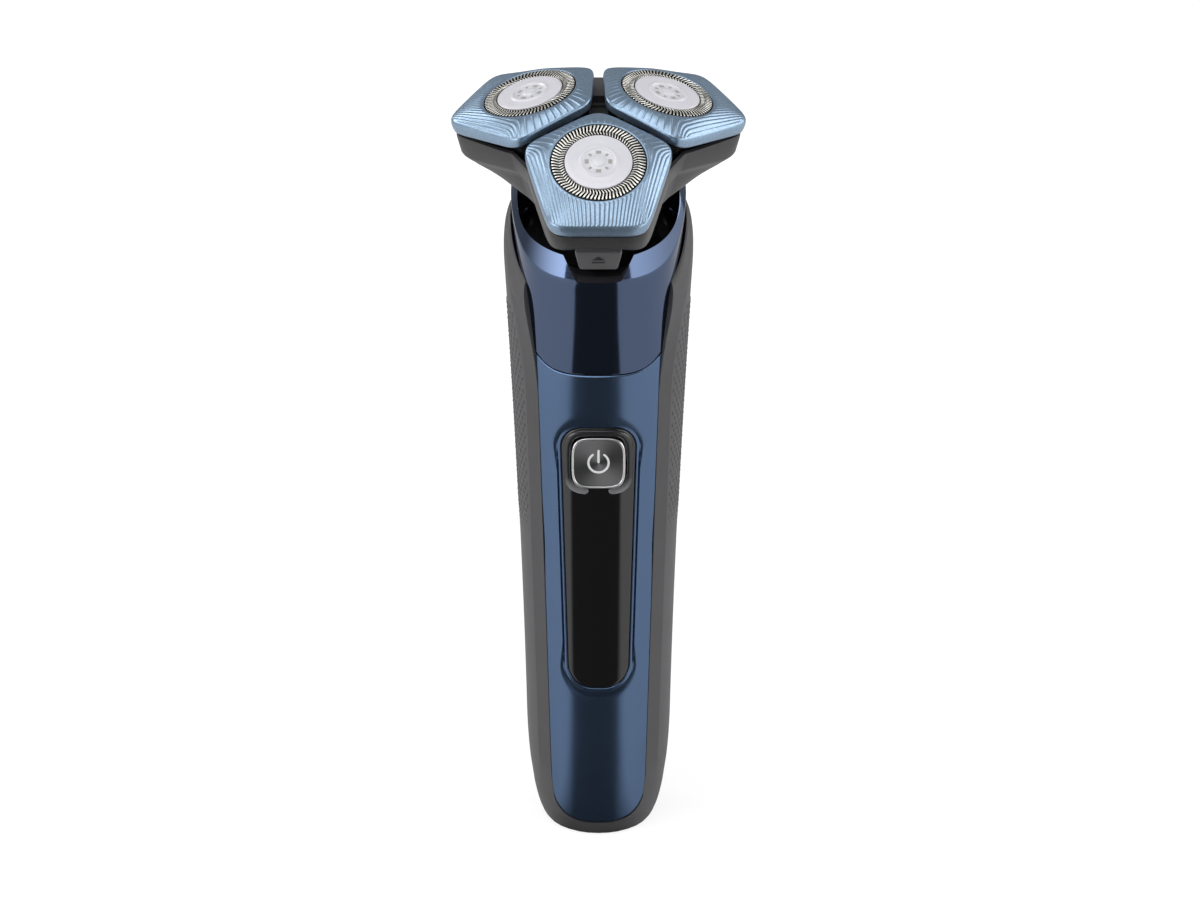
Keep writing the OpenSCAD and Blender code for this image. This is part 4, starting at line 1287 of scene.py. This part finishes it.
def repeated(name, shape, count, finish_name):
    """Points and faces, in millimetres, of a shape repeated round the upright axis."""
    one, many = (make(name + end, shape, finish_name) for end in ("_one", "_many"))
    copied(many, ring_of, Count=count, Shape=one, Finish=finishes[finish_name].material)
    points = np.array([v.co for v in many.data.vertices]) / MM
    faces = [list(p.vertices) for p in many.data.polygons]
    bpy.data.objects.remove(many)
    return points, faces


print("tree:", ring_of.name, "with", len(ring_of.nodes), "nodes")

# %% [markdown]
# One bar of the guard bends twice on its way in, as the slots do. Its top is crowned
# a little, so that each bar catches the light on its own. Below the bars lies the
# guard's cup, and the dark gap between them is the space over the cutter. All that lies
# below the bars' tops gets a painted shade, a dark steel that stands for the shade deep
# in a narrow slot; the guard's outer and inner rings sit low enough to take it too.

# %% Guards
BAR_N = 76
BAR_FOOT = -0.38
BAR_HALF, BAR_CROWN = 0.225, 0.14  # half widths as shares of the pitch
BAR_BENDS = ((9.5, 0.0, -0.16), (9.38, 0.02, -0.03), (9.0, 0.12, 0.0), (8.6, 0.28, 0.0), (8.2, 0.46, -0.02),
             (7.98, 0.54, -0.05), (7.86, 0.55, -0.05), (7.7, 0.48, -0.02), (7.4, 0.28, 0.0),
             (7.1, 0.05, -0.02), (6.98, 0.0, -0.14))
SHADE_FROM = -0.1


def guard_bar():
    """One bar, bent to a chevron, with rounded ends and a dip where it bends."""
    rows = []
    for r, lean, top in BAR_BENDS:
        side = np.array([-BAR_HALF, -BAR_HALF, -BAR_CROWN, BAR_CROWN, BAR_HALF, BAR_HALF])
        z = np.array([BAR_FOOT, top - 0.07, top, top, top - 0.07, BAR_FOOT])
        rows.append(polar(r, (lean + side) * 360 / BAR_N, z))
    return ringed(rows, False)


def turned(profile, steps):
    """A closed outline of (radius, height) turned round the upright axis."""
    around = np.linspace(0, 360, steps, endpoint=False)
    return ringed([polar(r, around, z) for r, z in profile], True)


def guard_body():
    r = GUARD_R
    outer = [(r - 0.3, -0.34), (r - 0.25, -0.25), (r - 0.06, -0.25), (r, -0.3), (r, -1.7), (r + 0.95, -1.7),
             (r + 0.95, -2.3), (r, -2.3), (r, -3.1), (r - 0.3, -3.1)]
    inner = [(0.0, -1.1), (0.0, -0.8), (6.6, -0.8), (6.92, -0.4), (6.92, -0.24), (7.0, -0.2), (7.12, -0.2),
             (7.17, -0.26), (7.1, -0.5), (6.6, -1.1)]
    web = [(8.1, -0.22), (8.3, -0.22), (8.3, BAR_FOOT), (8.1, BAR_FOOT)]
    return joined(*(turned(profile, 120) for profile in (outer, inner, web)))


guard_form = joined(guard_body(), repeated("guard_bars", guard_bar(), BAR_N, "guard_steel"))
for i in (1, 2, 3):
    guard = make(f"slotted_guard_{i}", on_head(i, guard_form), "guard_steel", 38)
    middle = in_head(i, np.zeros(3))
    up = in_head(i, np.array([0, 0, 1])) - middle
    # painted shade on every face below the bars' tops
    refinish(guard, lambda here: np.dot(here - middle, up) < SHADE_FROM, "painted_slot_shade")
    settle(guard, f"head_{i}", "guard_steel", f"guard_{i}")
print("guard faces:", len(guard.data.polygons))

# %% [markdown]
# The white disc in each guard has a raised ring, a small hub, and short marks like
# the spokes of a wheel between them. The marks are repeated by the same tree.

# %% Discs
DISC_LINE = ((0.0, -0.8), (6.5, -0.8), (6.78, -0.45), (6.82, -0.1), (6.74, 0.03), (6.55, 0.08), (5.4, 0.1),
             (4.2, 0.1), (4.02, 0.13), (3.86, 0.3), (3.7, 0.38), (3.5, 0.38), (3.36, 0.3), (3.22, 0.12),
             (3.05, 0.07), (1.75, 0.07), (1.5, 0.1), (1.32, 0.26), (1.1, 0.36), (0.7, 0.43), (0.0, 0.46))
wide = block((-0.55, -2.75, 0.03), (0.55, -1.95, 0.09))
thin, thin_faces = block((-0.26, -2.7, 0.03), (0.26, -2.0, 0.09))
thin = thin @ turn(2, math.radians(45)), thin_faces
disc_body = turned(DISC_LINE, 128)
disc_marks = repeated("disc_marks", joined(wide, thin), 4, "pearl_white")
for i in (1, 2, 3):
    disc = make(f"pearl_disc_{i}", on_head(i, disc_body), "pearl_white", 50)
    marks = make(f"disc_marks_{i}", on_head(i, disc_marks), "disc_mark", 50)
    settle(marks, f"head_{i}", "pearl_white")
    settle(disc, f"head_{i}", "pearl_white", f"disc_{i}")
print("disc faces:", len(disc.data.polygons))

# %% [markdown]
# Under the caps lies the hair bowl with its three lobes. Its wall follows the caps'
# outline, its underside draws in to the neck, and the neck fits over the collar's
# spigot. So all its rings come from one rule: the caps' outline, grown or shrunk, or
# drawn in to a circle. At the back the rim is a little lower, so that the rear caps
# clear it when the holder is flipped open.

# %% Rings of the hair bowl
FLOOR = RING_H - 10.8
NECK_R = 10.4
REAR_CLEAR = 0.42
lobe = np.linspace(-100, 100, 81)


def bowl_ring(grow, depth, gap=False):
    """A ring along the outlines of the three caps, lower where two lobes meet."""
    aside = np.abs(lobe)
    dip = 0.45 + 1.05 * smooth(15, 100, aside) if gap else 1.5 * smooth(12, 45, aside)
    one = polar(cap_r(lobe, grow), lobe, depth - dip)
    return np.concatenate([in_bowl(i, one) for i in (1, 2, 3)])


def drawn(ring, radius, height):
    """The ring drawn in to a radius, at one height."""
    q = np.hypot(ring[:, 0], ring[:, 1])
    return np.stack([ring[:, 0] / q * radius, ring[:, 1] / q * radius, height + 0 * q], -1)


def neck(radius, height):
    return drawn(wall, radius, height)


wall, keel = bowl_ring(-0.3, -8.6), bowl_ring(-1.6, -10.6)
rim, rim_in = bowl_ring(-0.3, -4.7, True), bowl_ring(-1.6, -4.7, True)
for line in (rim, rim_in):
    line[:, 2] -= REAR_CLEAR * smooth(19.5, 21.2, line[:, 1])
wall_in = bowl_ring(-2, -6.8)
wall_in[:, 2] = np.maximum(wall_in[:, 2], FLOOR + 0.3)
belly = neck(mix(NECK_R, np.hypot(wall[:, 0], wall[:, 1]), 0.66), RING_H - 16.4)
pan = drawn(wall_in, mix(11, np.hypot(wall_in[:, 0], wall_in[:, 1]), 0.62), FLOOR - 0.03)
print("points of a bowl ring:", len(wall))

# %% [markdown]
# The rings go from the neck's bore down and out, up the outside to the rim, and down the
# inside to the floor. Behind, two knuckles carry the hinge pin of the head holder. The
# neck is painted black as shade, as it is seen in the dark of the well.

# %% Hair bowl
BORE_R = NECK_R - 1.7
HINGE_Y, HINGE_H = 21.5, RING_H - 8
SHADE_BLACK_BELOW = 10.9
rows = [neck(0.02, 11.6), neck(BORE_R, 11.6), neck(BORE_R, 0.6), neck(NECK_R - 0.2, 0.6),
        neck(NECK_R - 0.03, 10.2), neck(NECK_R + 0.25, 10.95)]
for k in (0.12, 0.5, 0.88):
    rows.append(mix(neck(NECK_R, 11), belly, k))
rows.append(belly + [0, 0, 0.06])
for k in (0.15, 0.5, 0.85):
    rows.append(mix(belly, keel, k))
rows += [mix(keel, wall, 0.08) + [0, 0, 0.1], mix(keel, wall, 0.5), mix(keel, wall, 0.85)]
for k in (0.06, 0.5, 0.9):
    rows.append(mix(wall, rim, k))
rows += [mix(rim, rim_in, 0.12) + [0, 0, 0.02], mix(rim, rim_in, 0.88), mix(rim_in, wall_in, 0.1)]
rows += [wall_in, pan, neck(0.02, FLOOR - 0.03)]
pieces = [ringed([in_unit(r) for r in rows], False)]
a = np.linspace(0, 2 * math.pi, 40, endpoint=False)
for x in (-7, 4):
    eye = []
    for r, at in ((1.0, 0), (2.0, 0), (2.1, 0.1), (2.1, 2.9), (2.0, 3), (1.0, 3)):
        eye.append(in_unit(np.stack([0 * a + x + at, HINGE_Y + r * np.cos(a), HINGE_H + r * np.sin(a)], -1)))
    pieces.append(ringed(eye, True))
    p, f = block((x, 16.2, FLOOR - 3), (x + 3, 20.45, FLOOR + 2))
    pieces.append((in_unit(p), f))
base = make("hair_bowl", joined(*pieces), "bowl_grey", 28)
# painted shade: below this height the neck is black for the dark of the well
refinish(base, lambda here: from_unit(here)[2] < SHADE_BLACK_BELOW, "matt_black")
p, f = block((-3.6, -14, 4.4), (3.6, -9.3, 10.6))
guide = rounded(make("button_guide", (in_unit(p), f), "matt_black", 40), 0.2)
settle(base, "shaving_unit", "matt_dark", "unit_base")
settle(guide, "shaving_unit", "matt_dark")
print("bowl faces:", len(base.data.polygons))

# %% [markdown]
# The rest keeps its solid from the frame and only gets its finish: the holder, the
# gimbal rings, the cutters and gears that show when the heads are lifted, and the
# motor, battery and boards inside. Their slots in the record name the finish, but the
# cutters get the guards' painted shade, a dark steel for the shade under the slots.

# %% Finishes of the inner pieces
slots = {s["node"]: s["material_slot"] for s in frame["record"]["subparts"]}
dressed = 0
for name, node in nodes.items():
    if node.hide_render:
        continue
    node.data.materials.clear()
    # the cutters take the painted shade in place of their own steel
    look = "painted_slot_shade" if name.startswith("cutter") else slots[name]
    node.data.materials.append(finishes[look].material)
    dressed += 1
print("nodes dressed:", dressed)

# %% [markdown]
# The studio is white paper under a white sky. On the camera's side the sky has a dark
# gap, and that is the dark stripe down the front's lacquer. The camera does not see it:
# for straight rays the sky is plain white.

# %% Sky
SKY_LIGHT = 0.28
world = bpy.data.worlds.new("studio")
scene.world = world
world.use_nodes = True


class Sky(Finish):
    """The world's tree, written with the same sums as a finish."""

    def __init__(self, tree):
        self.tree = tree


sky = Sky(world.node_tree)
across, depth, high_up = sky.axes(sky.node("ShaderNodeTexCoord", output=0))
dark_gap = sky.ramp(-1 * depth * 0.47 - sky.maths("ABSOLUTE", across), 0, 0.05)
dark_gap = dark_gap * sky.ramp(0.8 - high_up, 0, 0.25)
straight = sky.node("ShaderNodeLightPath")
strength = SKY_LIGHT * (1 - 0.93 * dark_gap) * (1 - straight) + straight
air = world.node_tree.nodes["Background"]
air.inputs[0].default_value = (1, 1, 1, 1)
world.node_tree.links.new(strength.socket, air.inputs[1])
print("sky nodes:", len(world.node_tree.nodes))

# %% [markdown]
# Five soft lamps light the shaver: a long strip on the left and a wide one on the right, a
# smaller one behind each, and one above that brightens the caps. The strip and the wide
# one fade towards one end, as cloth over a lamp does, so the lacquer shades off softly.

# %% Lamps


def softbox(name, place, aim, wide, tall, power, dim_end=None, dim=0.0):
    """A soft lamp. With dim_end given, its light falls off evenly to that end of its width."""
    lamp = bpy.data.lights.new(name, "AREA")
    lamp.shape = "RECTANGLE"
    lamp.size = wide
    lamp.size_y = tall
    lamp.energy = power
    if dim_end is not None:
        lamp.use_nodes = True
        lamp_nodes, link = lamp.node_tree.nodes, lamp.node_tree.links.new
        where, parts = lamp_nodes.new("ShaderNodeNewGeometry"), lamp_nodes.new("ShaderNodeSeparateXYZ")
        fall = lamp_nodes.new("ShaderNodeMapRange")
        fall.interpolation_type = "SMOOTHSTEP"
        for socket, value in zip(fall.inputs[1:5], (dim_end, 1 - dim_end, dim, 2 - dim)):
            socket.default_value = value
        link(where.outputs["Parametric"], parts.inputs[0])
        link(parts.outputs["X"], fall.inputs["Value"])
        link(fall.outputs["Result"], lamp_nodes["Emission"].inputs["Strength"])
    made = bpy.data.objects.new(name, lamp)
    scene.collection.objects.link(made)
    made.location = place
    made.rotation_euler = (Vector(aim) - Vector(place)).to_track_quat("-Z", "Y").to_euler()


softbox("strip_left", (-0.94, -0.33, 0.27), (0, 0, 0.12), 1.25, 0.5, 3.7, 0)
softbox("softbox_back_left", (-0.84, 0.38, 0.6), (0, 0, 0.15), 0.45, 0.45, 2.2)
softbox("softbox_right", (0.97, -0.22, 0.26), (0, 0, 0.08), 1.7, 0.56, 4.6, 1, 0.5)
softbox("softbox_side_right", (0.8, 0.2, 0.5), (0, 0, 0.08), 0.6, 0.5, 1.8)
softbox("softbox_above", (-0.2, -0.4, 1.0), (0, 0, 0.1), 0.9, 0.9, 4.8)
print("lamps:", len(bpy.data.lights))

# %% [markdown]
# The paper is white to the camera, with a soft shade close to the base. To the shaver it
# shows more: a dark card lies before it, wider towards the camera, and carries the dark
# stripe of the front down to the base. The two edges of the card are gentle curves.

# %% Paper
paper = finish("paper", roughness=0.9, emission_strength=1.0)
across, depth, _ = paper.axes()
ahead = -1 * depth
right_side = 0.010 + ahead * 0.43 - ahead * ahead * 0.18 - across
left_side = 0.012 + ahead * 0.62 - ahead * ahead * 0.5 + across
card = paper.ramp(right_side, 0, 0.012) * paper.ramp(left_side, 0, 0.012)
card = card * paper.ramp(ahead, 0.004, 0.012)
straight = paper.node("ShaderNodeLightPath")
grain = paper.blend(paper.noise(40, 2), (0.8, 0.8, 0.8), (0.84, 0.84, 0.84))
bounce = paper.blend(card, grain, (0.04, 0.04, 0.04))
paper.set("Base Color", paper.blend(straight, bounce, (0.25, 0.25, 0.25)))
beyond = paper.ramp(across * across + ahead * ahead, 0.02, 0.25)
shown = paper.blend(beyond, (0.83, 0.83, 0.83), (1, 1, 1))
paper.set("Emission Color", paper.blend(straight, (0, 0, 0), shown))
points = np.array([[-2, -2, 0], [2, -2, 0], [2, 2.5, 0], [-2, 2.5, 0]]) / MM
floor = make("floor", (points, [[0, 1, 2, 3]]), "paper", 60)
print("paper nodes:", len(paper.tree.nodes))

# %% [markdown]
